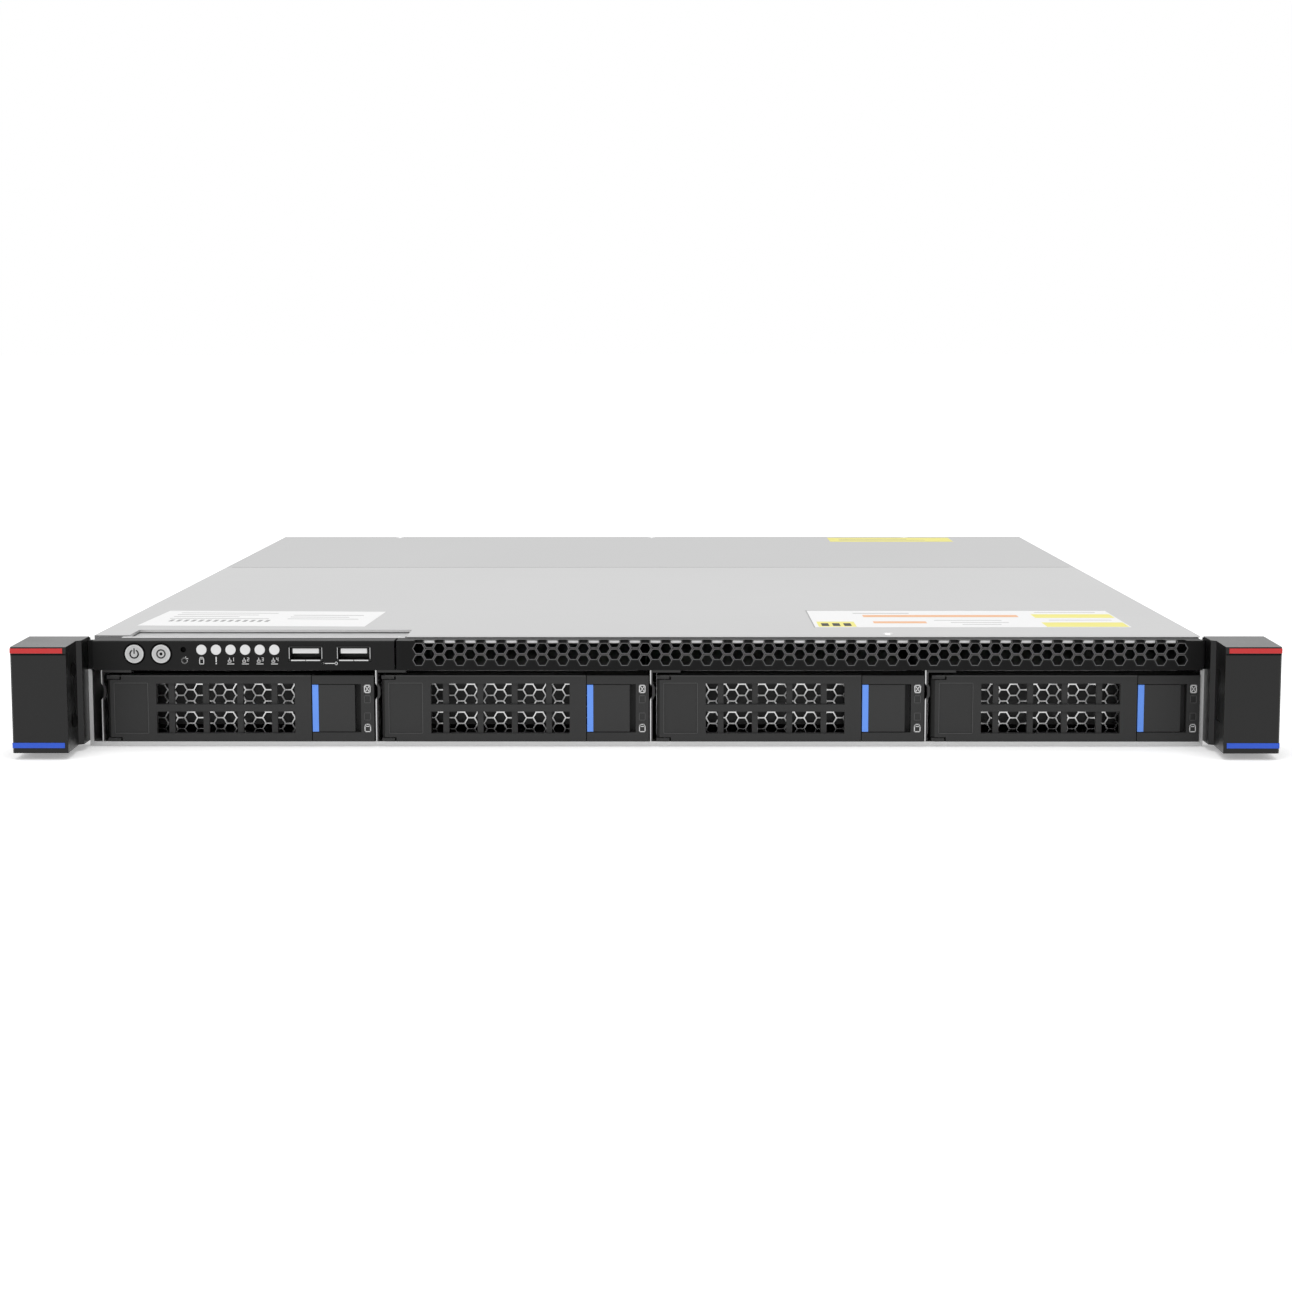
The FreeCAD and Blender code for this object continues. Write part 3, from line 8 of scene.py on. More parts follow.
# %% Load the frame
import math
import bmesh
import bpy
from mathutils import Matrix, Vector


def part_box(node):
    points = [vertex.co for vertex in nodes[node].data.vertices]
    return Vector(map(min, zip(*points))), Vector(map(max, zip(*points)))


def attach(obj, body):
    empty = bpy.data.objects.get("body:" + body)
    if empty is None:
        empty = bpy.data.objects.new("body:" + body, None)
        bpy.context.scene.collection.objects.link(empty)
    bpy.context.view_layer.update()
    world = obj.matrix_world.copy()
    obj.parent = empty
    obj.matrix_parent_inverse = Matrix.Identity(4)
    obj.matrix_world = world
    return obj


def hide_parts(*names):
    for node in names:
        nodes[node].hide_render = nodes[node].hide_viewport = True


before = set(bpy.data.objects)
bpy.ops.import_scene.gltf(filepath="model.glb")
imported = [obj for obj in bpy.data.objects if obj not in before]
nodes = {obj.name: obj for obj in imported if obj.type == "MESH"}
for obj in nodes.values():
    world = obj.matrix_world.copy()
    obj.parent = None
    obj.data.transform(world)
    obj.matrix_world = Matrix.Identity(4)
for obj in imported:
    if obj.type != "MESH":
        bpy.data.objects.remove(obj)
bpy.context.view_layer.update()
MM = 0.001
BAYS = range(1, 5)

# %% [markdown]
# ## Helpers for node trees
#
# Materials and Geometry Nodes are both built from nodes and links. One helper that makes a node,
# sets its options and fills or wires its inputs keeps every later tree short and readable.


# %% Node tree helpers
def add(tree, kind, settings=None, inputs=None):
    """Put a node into a tree, set its options, and wire or fill its inputs."""
    node = tree.nodes.new(kind)
    for name, value in (settings or {}).items():
        setattr(node, name, value)
    for name, value in (inputs or {}).items():
        if isinstance(value, bpy.types.NodeSocket):
            tree.links.new(value, node.inputs[name])
        else:
            node.inputs[name].default_value = value
    return node


def math_node(tree, operation, first, second=0.0):
    """One sum of two values or sockets."""
    return add(tree, "ShaderNodeMath", {"operation": operation}, {0: first, 1: second}).outputs[0]


def new_group(name, kind, inputs, outputs):
    """Empty node group with named sockets; returns the tree and its two end nodes."""
    tree = bpy.data.node_groups.new(name, kind)
    for socket, (socket_type, value) in inputs.items():
        made = tree.interface.new_socket(name=socket, in_out="INPUT", socket_type=socket_type)
        if value is not None:
            made.default_value = value
    for socket, socket_type in outputs.items():
        tree.interface.new_socket(name=socket, in_out="OUTPUT", socket_type=socket_type)
    return tree, tree.nodes.new("NodeGroupInput"), tree.nodes.new("NodeGroupOutput")


def object_place(tree):
    """The surface point, in the coordinates of the piece itself."""
    return add(tree, "ShaderNodeTexCoord").outputs["Object"]


def blend_colours(tree, factor, first, second):
    """Mix of two colours by a value."""
    mixed = add(tree, "ShaderNodeMix", {"data_type": "RGBA"}, {"Factor": factor, 6: first, 7: second})
    return mixed.outputs[2]


def srgb(*levels):
    """Screen colour, 0 to 255 each, as the linear colour that shaders work in."""
    parts = [level / 255 for level in (levels if len(levels) == 3 else levels * 3)]
    return tuple(c / 12.92 if c <= 0.04045 else ((c + 0.055) / 1.055) ** 2.4 for c in parts) + (1.0,)


print("helpers ready")

# %% [markdown]
# ## Effects that several finishes share
#
# Moulded plastic has a fine spark-eroded grain and slow changes of tone. Rolled steel has streaks
# along the rolling direction and a faint speckle. Both are shader groups, so each material
# only places the group and gives it its own numbers.


# %% Shader group: moulded grain
def moulded_grain():
    tree, start, end = new_group("moulded_grain", "ShaderNodeTree", {
        "Colour": ("NodeSocketColor", (0.02, 0.02, 0.02, 1)), "Roughness": ("NodeSocketFloat", 0.5),
        "Grain": ("NodeSocketFloat", 2500.0), "Variation": ("NodeSocketFloat", 0.15),
    }, {"Colour": "NodeSocketColor", "Roughness": "NodeSocketFloat", "Height": "NodeSocketFloat"})
    place = object_place(tree)
    fine = add(tree, "ShaderNodeTexNoise", None,
               {"Vector": place, "Scale": start.outputs["Grain"], "Detail": 3.0, "Roughness": 0.6})
    slow = add(tree, "ShaderNodeTexNoise", None, {"Vector": place, "Scale": 42.0, "Detail": 4.0})
    tone = math_node(tree, "ADD", math_node(tree, "MULTIPLY", fine.outputs[0], 0.6),
                     math_node(tree, "MULTIPLY", slow.outputs[0], 0.4))
    swing = math_node(tree, "MULTIPLY", math_node(tree, "SUBTRACT", tone, 0.5), start.outputs["Variation"])
    gain = math_node(tree, "MULTIPLY_ADD", swing, 2.0)
    gain.node.inputs[2].default_value = 1.0
    shaded = add(tree, "ShaderNodeVectorMath", {"operation": "SCALE"},
                 {0: start.outputs["Colour"], "Scale": gain})
    rough = math_node(tree, "ADD", start.outputs["Roughness"], math_node(tree, "MULTIPLY", swing, 0.8))
    tree.links.new(shaded.outputs[0], end.inputs["Colour"])
    tree.links.new(rough, end.inputs["Roughness"])
    tree.links.new(fine.outputs[0], end.inputs["Height"])
    return tree


GRAIN = moulded_grain()
print("group", GRAIN.name)


# %% Shader group: rolled sheet
def rolled_sheet():
    tree, start, end = new_group("rolled_sheet", "ShaderNodeTree", {
        "Colour": ("NodeSocketColor", (0.6, 0.6, 0.6, 1)), "Roughness": ("NodeSocketFloat", 0.4),
        "Variation": ("NodeSocketFloat", 0.08), "Streak": ("NodeSocketFloat", 12.0),
    }, {"Colour": "NodeSocketColor", "Roughness": "NodeSocketFloat", "Height": "NodeSocketFloat"})
    place = object_place(tree)
    stretch = add(tree, "ShaderNodeCombineXYZ", None, {"X": 1.0, "Y": start.outputs["Streak"], "Z": 1.0})
    drawn = add(tree, "ShaderNodeVectorMath", {"operation": "MULTIPLY"}, {0: place, 1: stretch.outputs[0]})
    streaks = add(tree, "ShaderNodeTexNoise", None,
                  {"Vector": drawn.outputs[0], "Scale": 60.0, "Detail": 5.0})
    speckle = add(tree, "ShaderNodeTexNoise", None, {"Vector": place, "Scale": 1400.0, "Detail": 2.0})
    clouds = add(tree, "ShaderNodeTexNoise", None, {"Vector": place, "Scale": 7.0, "Detail": 3.0})
    tone = math_node(tree, "ADD", math_node(tree, "MULTIPLY", streaks.outputs[0], 0.35),
                     math_node(tree, "MULTIPLY", speckle.outputs[0], 0.3))
    tone = math_node(tree, "ADD", tone, math_node(tree, "MULTIPLY", clouds.outputs[0], 0.35))
    swing = math_node(tree, "MULTIPLY", math_node(tree, "SUBTRACT", tone, 0.5), start.outputs["Variation"])
    gain = math_node(tree, "MULTIPLY_ADD", swing, 2.0)
    gain.node.inputs[2].default_value = 1.0
    shaded = add(tree, "ShaderNodeVectorMath", {"operation": "SCALE"},
                 {0: start.outputs["Colour"], "Scale": gain})
    rough = math_node(tree, "ADD", start.outputs["Roughness"], math_node(tree, "MULTIPLY", swing, 1.5))
    tree.links.new(shaded.outputs[0], end.inputs["Colour"])
    tree.links.new(rough, end.inputs["Roughness"])
    tree.links.new(speckle.outputs[0], end.inputs["Height"])
    return tree


SHEET = rolled_sheet()
print("group", SHEET.name)

# %% [markdown]
# ## Finishes
#
# A finish is a Principled shader fed by one of the groups. What stays the same all over a
# surface, such as metalness or gloss level, is typed into the shader's own socket; only what
# changes over the surface comes through links.


# %% Finish builders
MOULD_RELIEF = 0.02 * MM
SHEET_RELIEF = 0.01 * MM


def new_finish(name):
    material = bpy.data.materials.new(name)
    material.use_nodes = True
    tree = material.node_tree
    return material, tree, tree.nodes["Principled BSDF"]


def dress(tree, shader, group, values, relief, depth):
    """Feed a shader from a shared group, with its height as a shallow bump."""
    effect = add(tree, "ShaderNodeGroup", {"node_tree": group}, values)
    bump = add(tree, "ShaderNodeBump", None,
               {"Strength": relief, "Distance": depth, "Height": effect.outputs["Height"]})
    tree.links.new(effect.outputs["Colour"], shader.inputs["Base Color"])
    tree.links.new(effect.outputs["Roughness"], shader.inputs["Roughness"])
    tree.links.new(bump.outputs[0], shader.inputs["Normal"])
    return effect


def moulded(name, colour, roughness=0.5, gloss=0.3, variation=0.2, grain=2500.0, relief=0.25):
    material, tree, shader = new_finish(name)
    shader.inputs["Specular IOR Level"].default_value = gloss
    values = {"Colour": colour, "Roughness": roughness, "Grain": grain, "Variation": variation}
    dress(tree, shader, GRAIN, values, relief, MOULD_RELIEF)
    return material


def sheet_metal(name, colour, roughness=0.4, variation=0.08, streak=12.0, relief=0.15):
    material, tree, shader = new_finish(name)
    shader.inputs["Metallic"].default_value = 1.0
    values = {"Colour": colour, "Roughness": roughness, "Variation": variation, "Streak": streak}
    dress(tree, shader, SHEET, values, relief, SHEET_RELIEF)
    return material


print("builders ready")

# %% [markdown]
# ## Finishes of the housing and the small parts
#
# Lids and chassis are zinc-coated sheet in slightly different greys; the rear lid is painted a shade
# darker than the front lid, as painted shade for its other slope to the light. Every moulding is its
# own black: the glossy ears, the flat bezel and the paler carriers. They could share one black, but
# side by side the real plastics never match. Small parts follow in their own colours.

# %% Finishes of the housing
COVER = sheet_metal("cover_sheet", srgb(201), 0.42, 0.1)
# The rear lid's sheet is painted a little darker than the front lid's: painted shade.
REAR_COVER = sheet_metal("rear_cover_sheet", srgb(193), 0.44, 0.12)
STEEL = sheet_metal("zinc_steel", srgb(196), 0.36, 0.12)
BRIGHT_STEEL = sheet_metal("bright_steel", srgb(225), 0.3, 0.1)
BEZEL = moulded("bezel_black", srgb(24), 0.42, 0.14, 0.2, 1800.0)
GRILLE = moulded("grille_black", srgb(20), 0.42, 0.1, 0.2, 1800.0)
# Painted highlight: a pale grey laid on the rims of the grille's holes.
RIM = moulded("grille_rim", srgb(112), 0.3, 0.5, 0.15, 1800.0)
CARRIER = moulded("carrier_black", srgb(50), 0.5, 0.22, 0.2, 2200.0)
# Painted highlight: a pale paint used for bright sheet edges, springs and button rims.
PAINTED_HIGHLIGHT = moulded("painted_highlight", srgb(216), 0.4, 0.5, 0.06)
# Painted highlight: a paler black laid on sharp edges of the carriers.
EDGE = moulded("painted_edge_highlight", srgb(82), 0.4, 0.4, 0.1)
EAR = moulded("ear_black", srgb(8), 0.3, 0.34, 0.25, 2000.0)
BLACK_METAL = moulded("powder_black", srgb(30), 0.45, 0.3, 0.3, 1500.0, 0.5)
print("housing finishes:", COVER.name, BEZEL.name, EAR.name)

# %% Finishes of the small parts
RED = moulded("red_bar", srgb(196, 26, 28), 0.3, 0.5, 0.08)
BLUE = moulded("blue_bar", srgb(24, 82, 206), 0.3, 0.5, 0.08)
LENS = moulded("milky_lens", srgb(226), 0.3, 0.5, 0.05)
BUTTON = moulded("satin_button", srgb(196), 0.35, 0.5, 0.06)
SOCKET = sheet_metal("nickel_shell", srgb(215), 0.18, 0.1)
TONGUE = moulded("white_tongue", srgb(228), 0.4, 0.4, 0.05)
WHITE_INK = moulded("white_ink", srgb(225), 0.6, 0.2, 0.06)
GREY_INK = moulded("grey_ink", srgb(168), 0.6, 0.2, 0.1)
DARK_INK = moulded("dark_ink", srgb(60), 0.6, 0.2, 0.1)
PAPER = moulded("label_paper", srgb(240), 0.55, 0.3, 0.04, 1200.0)
YELLOW = moulded("label_yellow", srgb(238, 230, 130), 0.55, 0.3, 0.05)
ORANGE = moulded("label_orange", srgb(236, 182, 140), 0.55, 0.3, 0.05)
# Deep black: the real black inside the sockets, and also painted shade in holes and gaps and painted shadow
# lines.
DEEP_BLACK = moulded("deep_black", srgb(8), 0.6, 0.05, 0.2)
GLOSS_BLACK = moulded("connector_black", srgb(22), 0.3, 0.4, 0.2)
FAN_BLACK = moulded("fan_black", srgb(26), 0.45, 0.35, 0.2)
SHROUD = moulded("shroud_black", srgb(34), 0.38, 0.4, 0.15)
ALUMINIUM = sheet_metal("fin_aluminium", srgb(205), 0.32, 0.1, 4.0)
GOLD = sheet_metal("gold_contact", srgb(226, 190, 100), 0.25, 0.1)
LED_GREEN = moulded("lamp_green", srgb(80, 205, 110), 0.3, 0.5, 0.05)
GREEN = moulded("latch_green", srgb(40, 150, 90), 0.4, 0.4, 0.1)
print("small finishes:", RED.name, LENS.name, PAPER.name)


# %% [markdown]
# ## Two finishes on one part
#
# A circuit board is green lacquer over copper tracks: a Voronoi pattern measured in city blocks
# gives crossing lines like tracks. The carrier's catch is one moulding with a blue band at its
# left end, which comes round once in each bay, so the band is a repeating step along X.


# %% Circuit board and catch
def board_finish():
    material, tree, shader = new_finish("circuit_board")
    tracks = add(tree, "ShaderNodeTexVoronoi", {"distance": "MANHATTAN", "feature": "F1"},
                 {"Vector": object_place(tree), "Scale": 260.0})
    edge = add(tree, "ShaderNodeMapRange", None,
               {"Value": tracks.outputs["Distance"], "From Min": 0.45, "From Max": 0.6})
    tint = blend_colours(tree, edge.outputs[0], srgb(16, 70, 44), srgb(30, 104, 66))
    shader.inputs["Specular IOR Level"].default_value = 0.5
    effect = dress(tree, shader, GRAIN,
                   {"Roughness": 0.35, "Grain": 900.0, "Variation": 0.15}, 0.2, MOULD_RELIEF)
    tree.links.new(tint, effect.inputs["Colour"])
    return material


def from_left(tree, across, first_left, pitch):
    """How far a point lies from the left edge of its own bay."""
    shifted = math_node(tree, "ADD", across, 10 * pitch - first_left)
    return math_node(tree, "MODULO", shifted, pitch)


def catch_finish(first_left, pitch, band):
    material, tree, shader = new_finish("catch_black_and_blue")
    across = add(tree, "ShaderNodeSeparateXYZ", None, {0: object_place(tree)}).outputs["X"]
    is_band = math_node(tree, "LESS_THAN", from_left(tree, across, first_left, pitch), band)
    tint = blend_colours(tree, is_band, srgb(50), srgb(108, 158, 250))
    shader.inputs["Specular IOR Level"].default_value = 0.25
    effect = dress(tree, shader, GRAIN,
                   {"Roughness": 0.45, "Grain": 2500.0, "Variation": 0.12}, 0.25, MOULD_RELIEF)
    tree.links.new(tint, effect.inputs["Colour"])
    return material


def drive_finish(rim):
    """Black dipped body with a bright pressed lid above it."""
    material, tree, shader = new_finish("drive_black_and_steel")
    up = add(tree, "ShaderNodeSeparateXYZ", None, {0: object_place(tree)}).outputs["Z"]
    tint = blend_colours(tree, math_node(tree, "GREATER_THAN", up, rim), srgb(26), srgb(186))
    effect = dress(tree, shader, SHEET,
                   {"Roughness": 0.45, "Variation": 0.15, "Streak": 3.0}, 0.2, MOULD_RELIEF)
    tree.links.new(tint, effect.inputs["Colour"])
    return material


def partition_finish(first_left, pitch, bead, front):
    """Zinc sheet whose cut front edge is in shade beside one bright bead."""
    material, tree, shader = new_finish("partition_steel")
    shader.inputs["Metallic"].default_value = 1.0
    place = add(tree, "ShaderNodeSeparateXYZ", None, {0: object_place(tree)})
    along = from_left(tree, place.outputs["X"], first_left, pitch)
    shade = math_node(tree, "MULTIPLY", math_node(tree, "GREATER_THAN", along, bead),
                      math_node(tree, "LESS_THAN", place.outputs["Y"], front + 0.3 * MM))
    tint = blend_colours(tree, shade, srgb(200), srgb(60))
    effect = dress(tree, shader, SHEET,
                   {"Roughness": 0.35, "Variation": 0.1, "Streak": 8.0}, 0.15, SHEET_RELIEF)
    tree.links.new(tint, effect.inputs["Colour"])
    return material


catch_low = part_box("carrier_latch_1")[0]
bay_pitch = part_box("carrier_latch_2")[0].x - catch_low.x
BOARD = board_finish()
CATCH = catch_finish(catch_low.x - 0.05 * MM, bay_pitch, 2.45 * MM)
wall_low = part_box("bay_partitions")[0]
DRIVE = drive_finish(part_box("drive_1")[1].z - 1.2 * MM)
PARTITION = partition_finish(wall_low.x - 0.05 * MM, bay_pitch, 0.5 * MM, wall_low.y)
print("bay pitch", round(bay_pitch / MM, 2), "mm")

# %% [markdown]
# ## One finish for each CAD part
#
# A table of part name and finish is easier to read and change than a line of code per part. Parts
# that come two or four times are named with a number, so the table holds the name without it.

# %% Finish of every CAD part
FINISHES = {
    "chassis_pan": STEEL, "bay_partitions": PARTITION, "front_bridge": STEEL, "front_grille": GRILLE,
    "control_panel_bezel": BEZEL, "status_lenses": LENS, "usb_ports": GLOSS_BLACK, "control_board": BOARD,
    "ear_bracket_left": BLACK_METAL, "ear_bracket_right": BLACK_METAL, "ear_housing_left": EAR,
    "ear_housing_right": EAR, "ear_red_inlays": RED, "ear_blue_inlays": BLUE, "backplane": BOARD,
    "fan_wall": STEEL, "fan_frames": FAN_BLACK, "mainboard": BOARD, "cpu_heatsinks": ALUMINIUM,
    "memory_modules": BOARD, "air_shroud": SHROUD, "riser_card": BOARD, "slot_blank": STEEL,
    "rear_panel": STEEL, "rear_sockets": SOCKET, "power_board": BOARD, "front_cover": COVER,
    "rear_cover": REAR_COVER, "rear_cover_lips": REAR_COVER, "power_button": BUTTON, "id_button": BUTTON,
    # The reset button is painted deep black as painted shade of the hole it sits in.
    "reset_button": DEEP_BLACK, "carrier_frame": CARRIER, "carrier_lever": CARRIER, "carrier_latch": CATCH,
    "carrier_tray": STEEL, "drive": DRIVE, "fan_rotor": FAN_BLACK, "power_supply": STEEL,
    "supply_latch": GREEN,
}
for name, part in nodes.items():
    finish = FINISHES.get(name) or FINISHES[name.rsplit("_", 1)[0]]
    part.data.materials.clear()
    part.data.materials.append(finish)
print("dressed", len(nodes), "CAD parts")

# %% [markdown]
# ## Helpers for pieces
#
# Most added pieces are a few thin slabs or strokes. They are drawn into a bmesh, a mesh that
# can be edited freely, and turned into an object once. Each object sits at the origin with its
# place in its mesh, and rides on the body that carries it.


# %% Piece helpers
def slab(bm, low, high):
    """Box between two corners."""
    low, high = Vector(low), Vector(high)
    made = bmesh.ops.create_cube(bm, size=1.0)["verts"]
    size = high - low
    bmesh.ops.scale(bm, vec=size, verts=made)
    bmesh.ops.translate(bm, vec=(low + high) / 2, verts=made)


def stroke(bm, start, end, width, front, back):
    """Straight mark on a front face, between two (x, z) points."""
    a, b = Vector(start), Vector(end)
    along = (b - a).normalized() * width / 2
    side = Vector((-along.y, along.x))
    corners = [a - along - side, b + along - side, b + along + side, a - along + side]
    near = [bm.verts.new((c.x, front, c.y)) for c in corners]
    far = [bm.verts.new((c.x, back, c.y)) for c in corners]
    bm.faces.new(near)
    bm.faces.new(far[::-1])
    for k in range(4):
        bm.faces.new((near[k], far[k], far[(k + 1) % 4], near[(k + 1) % 4]))


def outline(bm, points, width, front, back, closed=True):
    """Strokes along a row of (x, z) points."""
    pairs = list(zip(points, points[1:])) + ([(points[-1], points[0])] if closed else [])
    for a, b in pairs:
        stroke(bm, a, b, width, front, back)


def arc(centre, radius, start, end, steps=16):
    """Points along an arc, angles in degrees from +X towards +Z."""
    angles = [math.radians(start + (end - start) * k / steps) for k in range(steps + 1)]
    return [(centre[0] + radius * math.cos(a), centre[1] + radius * math.sin(a)) for a in angles]


def skin(front, proud=0.03 * MM):
    """Front and back of a thin mark on a face that looks forward."""
    return front - proud, front + 0.02 * MM


def piece(name, bm, finish, body):
    """Turn a bmesh into an object that rides on a body."""
    bmesh.ops.recalc_face_normals(bm, faces=bm.faces)
    mesh = bpy.data.meshes.new(name)
    bm.to_mesh(mesh)
    bm.free()
    return carry(name, mesh, finish, body)


def carry(name, mesh, finish, body):
    """Object from a finished mesh, dressed and riding on a body."""
    made = bpy.data.objects.new(name, mesh)
    bpy.context.scene.collection.objects.link(made)
    if finish is not None:
        mesh.materials.clear()
        mesh.materials.append(finish)
    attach(made, body)
    return made


print("piece helpers ready")

# %% [markdown]
# ## The trays' fine mesh
#
# Behind each lever the steel tray is pierced by a honeycomb that lets air over the drive and
# keeps stray signals in. It could be cut hole by hole, but a honeycomb is one ring repeated:
# Geometry Nodes make a six-sided ring by shrinking a hexagon's face and dropping it, and put a
# ring on each point of two grids that are offset by half a step.


# %% Geometry Nodes: honeycomb sheet
def joined(tree, *geometries):
    """Several geometries as one."""
    join = add(tree, "GeometryNodeJoinGeometry")
    for geometry in geometries:
        tree.links.new(geometry, join.inputs[0])
    return join.outputs[0]


def honeycomb_tree():
    tree, start, end = new_group("honeycomb_sheet", "GeometryNodeTree", {
        "Columns": ("NodeSocketInt", 6), "Rows": ("NodeSocketInt", 4),
        "Between Columns": ("NodeSocketInt", 6), "Between Rows": ("NodeSocketInt", 4),
        "Pitch": ("NodeSocketFloat", 0.0078), "Side": ("NodeSocketFloat", 0.0026),
        "Web": ("NodeSocketFloat", 0.1), "Finish": ("NodeSocketMaterial", None),
    }, {"Sheet": "NodeSocketGeometry"})
    side = start.outputs["Side"]
    across = start.outputs["Pitch"]
    rise = math_node(tree, "DIVIDE", across, math.sqrt(3))
    hexagon = add(tree, "GeometryNodeMeshCircle", {"fill_type": "NGON"}, {"Vertices": 6, "Radius": side})
    raised = add(tree, "GeometryNodeExtrudeMesh", {"mode": "FACES"},
                 {"Mesh": hexagon.outputs[0], "Offset Scale": 0.0, "Individual": True})
    shrunk = add(tree, "GeometryNodeScaleElements", {"domain": "FACE"},
                 {"Geometry": raised.outputs["Mesh"], "Selection": raised.outputs["Top"],
                  "Scale": math_node(tree, "SUBTRACT", 1.0, start.outputs["Web"])})
    ring = add(tree, "GeometryNodeDeleteGeometry", {"domain": "FACE"},
               {"Geometry": shrunk.outputs[0], "Selection": raised.outputs["Top"]})
    grids = []
    for prefix, half in (("", 0.0), ("Between ", 0.5)):
        columns, rows = start.outputs[prefix + "Columns"], start.outputs[prefix + "Rows"]
        wide = math_node(tree, "MULTIPLY", across, math_node(tree, "SUBTRACT", columns, 1.0))
        tall = math_node(tree, "MULTIPLY", rise, math_node(tree, "SUBTRACT", rows, 1.0))
        grid = add(tree, "GeometryNodeMeshGrid", None,
                   {"Size X": wide, "Size Y": tall, "Vertices X": columns, "Vertices Y": rows})
        right = math_node(tree, "MULTIPLY", across, half)
        up = math_node(tree, "MULTIPLY", rise, half)
        shift = add(tree, "ShaderNodeCombineXYZ", None, {
            "X": math_node(tree, "ADD", math_node(tree, "MULTIPLY", wide, 0.5), right),
            "Y": math_node(tree, "ADD", math_node(tree, "MULTIPLY", tall, 0.5), up)})
        moved = add(tree, "GeometryNodeTransform", None,
                    {"Geometry": grid.outputs["Mesh"], "Translation": shift.outputs[0]})
        grids.append(moved.outputs[0])
    rings = add(tree, "GeometryNodeInstanceOnPoints", None,
                {"Points": joined(tree, *grids), "Instance": ring.outputs[0]})
    real = add(tree, "GeometryNodeRealizeInstances", None, {"Geometry": rings.outputs[0]})
    welded = add(tree, "GeometryNodeMergeByDistance", None, {"Geometry": real.outputs[0], "Distance": 1e-5})
    upright = add(tree, "GeometryNodeTransform", None,
                  {"Geometry": welded.outputs[0], "Rotation": (math.radians(90), 0.0, 0.0)})
    dressed = add(tree, "GeometryNodeSetMaterial", None,
                  {"Geometry": upright.outputs[0], "Material": start.outputs["Finish"]})
    tree.links.new(dressed.outputs[0], end.inputs["Sheet"])
    return tree


def grown(tree, values, host=None, wall=0.0):
    """Plain mesh that a Geometry Nodes tree makes; wall thickens it as a sheet."""
    holder = bpy.data.objects.new("holder", host or bpy.data.meshes.new("holder"))
    bpy.context.scene.collection.objects.link(holder)
    modifier = holder.modifiers.new("nodes", "NODES")
    modifier.node_group = tree
    for item in tree.interface.items_tree:
        if item.in_out == "INPUT" and item.name in values:
            modifier[item.identifier] = values[item.name]
    if wall:
        thick = holder.modifiers.new("wall", "SOLIDIFY")
        thick.thickness = wall
        thick.offset = 0.0
    shape = holder.evaluated_get(bpy.context.evaluated_depsgraph_get())
    mesh = bpy.data.meshes.new_from_object(shape)
    bpy.data.objects.remove(holder)
    return mesh


HONEYCOMB = honeycomb_tree()
print("tree", HONEYCOMB.name)

# %% [markdown]
# ## Trays around the drives
#
# Each tray is one folded strip: the pierced front and two rails that hold the drive. The
# rails keep the outline of the CAD tray, high at the front and lower along the drive.


# %% Trays
CELL = 2.6 * MM
COLUMNS = 12
ROWS = 5
WEB = 0.1
TRAY_WALL = 0.8 * MM
RAIL_HIGH = 18 * MM
RAIL_END_HIGH = 13.8 * MM
sheet_values = {"Columns": COLUMNS, "Rows": ROWS, "Between Columns": COLUMNS, "Between Rows": ROWS,
                "Pitch": 3 * CELL, "Side": CELL, "Web": WEB, "Finish": STEEL}
sheet_mesh = grown(HONEYCOMB, sheet_values, wall=TRAY_WALL)


def tray(k):
    """Fine-mesh tray of bay k, in place of the plain CAD one."""
    low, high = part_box(f"carrier_tray_{k}")
    bm = bmesh.new()
    bm.from_mesh(sheet_mesh)
    middle = (low.x + high.x) / 2 - (COLUMNS - 0.5) * 1.5 * CELL
    up = (low.z + high.z) / 2 - (ROWS - 0.5) * math.sqrt(3) / 2 * CELL
    bmesh.ops.translate(bm, vec=(middle, low.y + TRAY_WALL / 2, up), verts=bm.verts)
    reach = 1.5 * COLUMNS * CELL + CELL / 2
    tall = math.sqrt(3) / 2 * (ROWS + 0.5) * CELL
    centre = ((low.x + high.x) / 2, (low.z + high.z) / 2)
    slab(bm, (low.x, low.y, low.z), (centre[0] - reach + CELL, low.y + TRAY_WALL, high.z))
    slab(bm, (centre[0] + reach - CELL, low.y, low.z), (high.x, low.y + TRAY_WALL, high.z))
    slab(bm, (low.x, low.y, low.z), (high.x, low.y + TRAY_WALL, centre[1] - tall + 0.2 * CELL))
    slab(bm, (low.x, low.y, centre[1] + tall - 0.2 * CELL), (high.x, low.y + TRAY_WALL, high.z))
    profile = [(low.y, low.z), (high.y, low.z), (high.y, RAIL_END_HIGH), (high.y - 5 * MM, RAIL_HIGH),
               (low.y + 22 * MM, RAIL_HIGH), (low.y + 12 * MM, high.z), (low.y, high.z)]
    for left in (low.x, high.x - TRAY_WALL):
        near = [bm.verts.new((left, y, z)) for y, z in profile]
        face = bm.faces.new(near)
        far = bmesh.ops.extrude_face_region(bm, geom=[face])["geom"]
        corners = [v for v in far if isinstance(v, bmesh.types.BMVert)]
        bmesh.ops.translate(bm, vec=(TRAY_WALL, 0, 0), verts=corners)
    made = piece(f"tray_mesh_{k}", bm, BRIGHT_STEEL, f"carrier_{k}")
    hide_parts(f"carrier_tray_{k}")


for k in BAYS:
    tray(k)
print("trays of", len(sheet_mesh.polygons), "faces each")
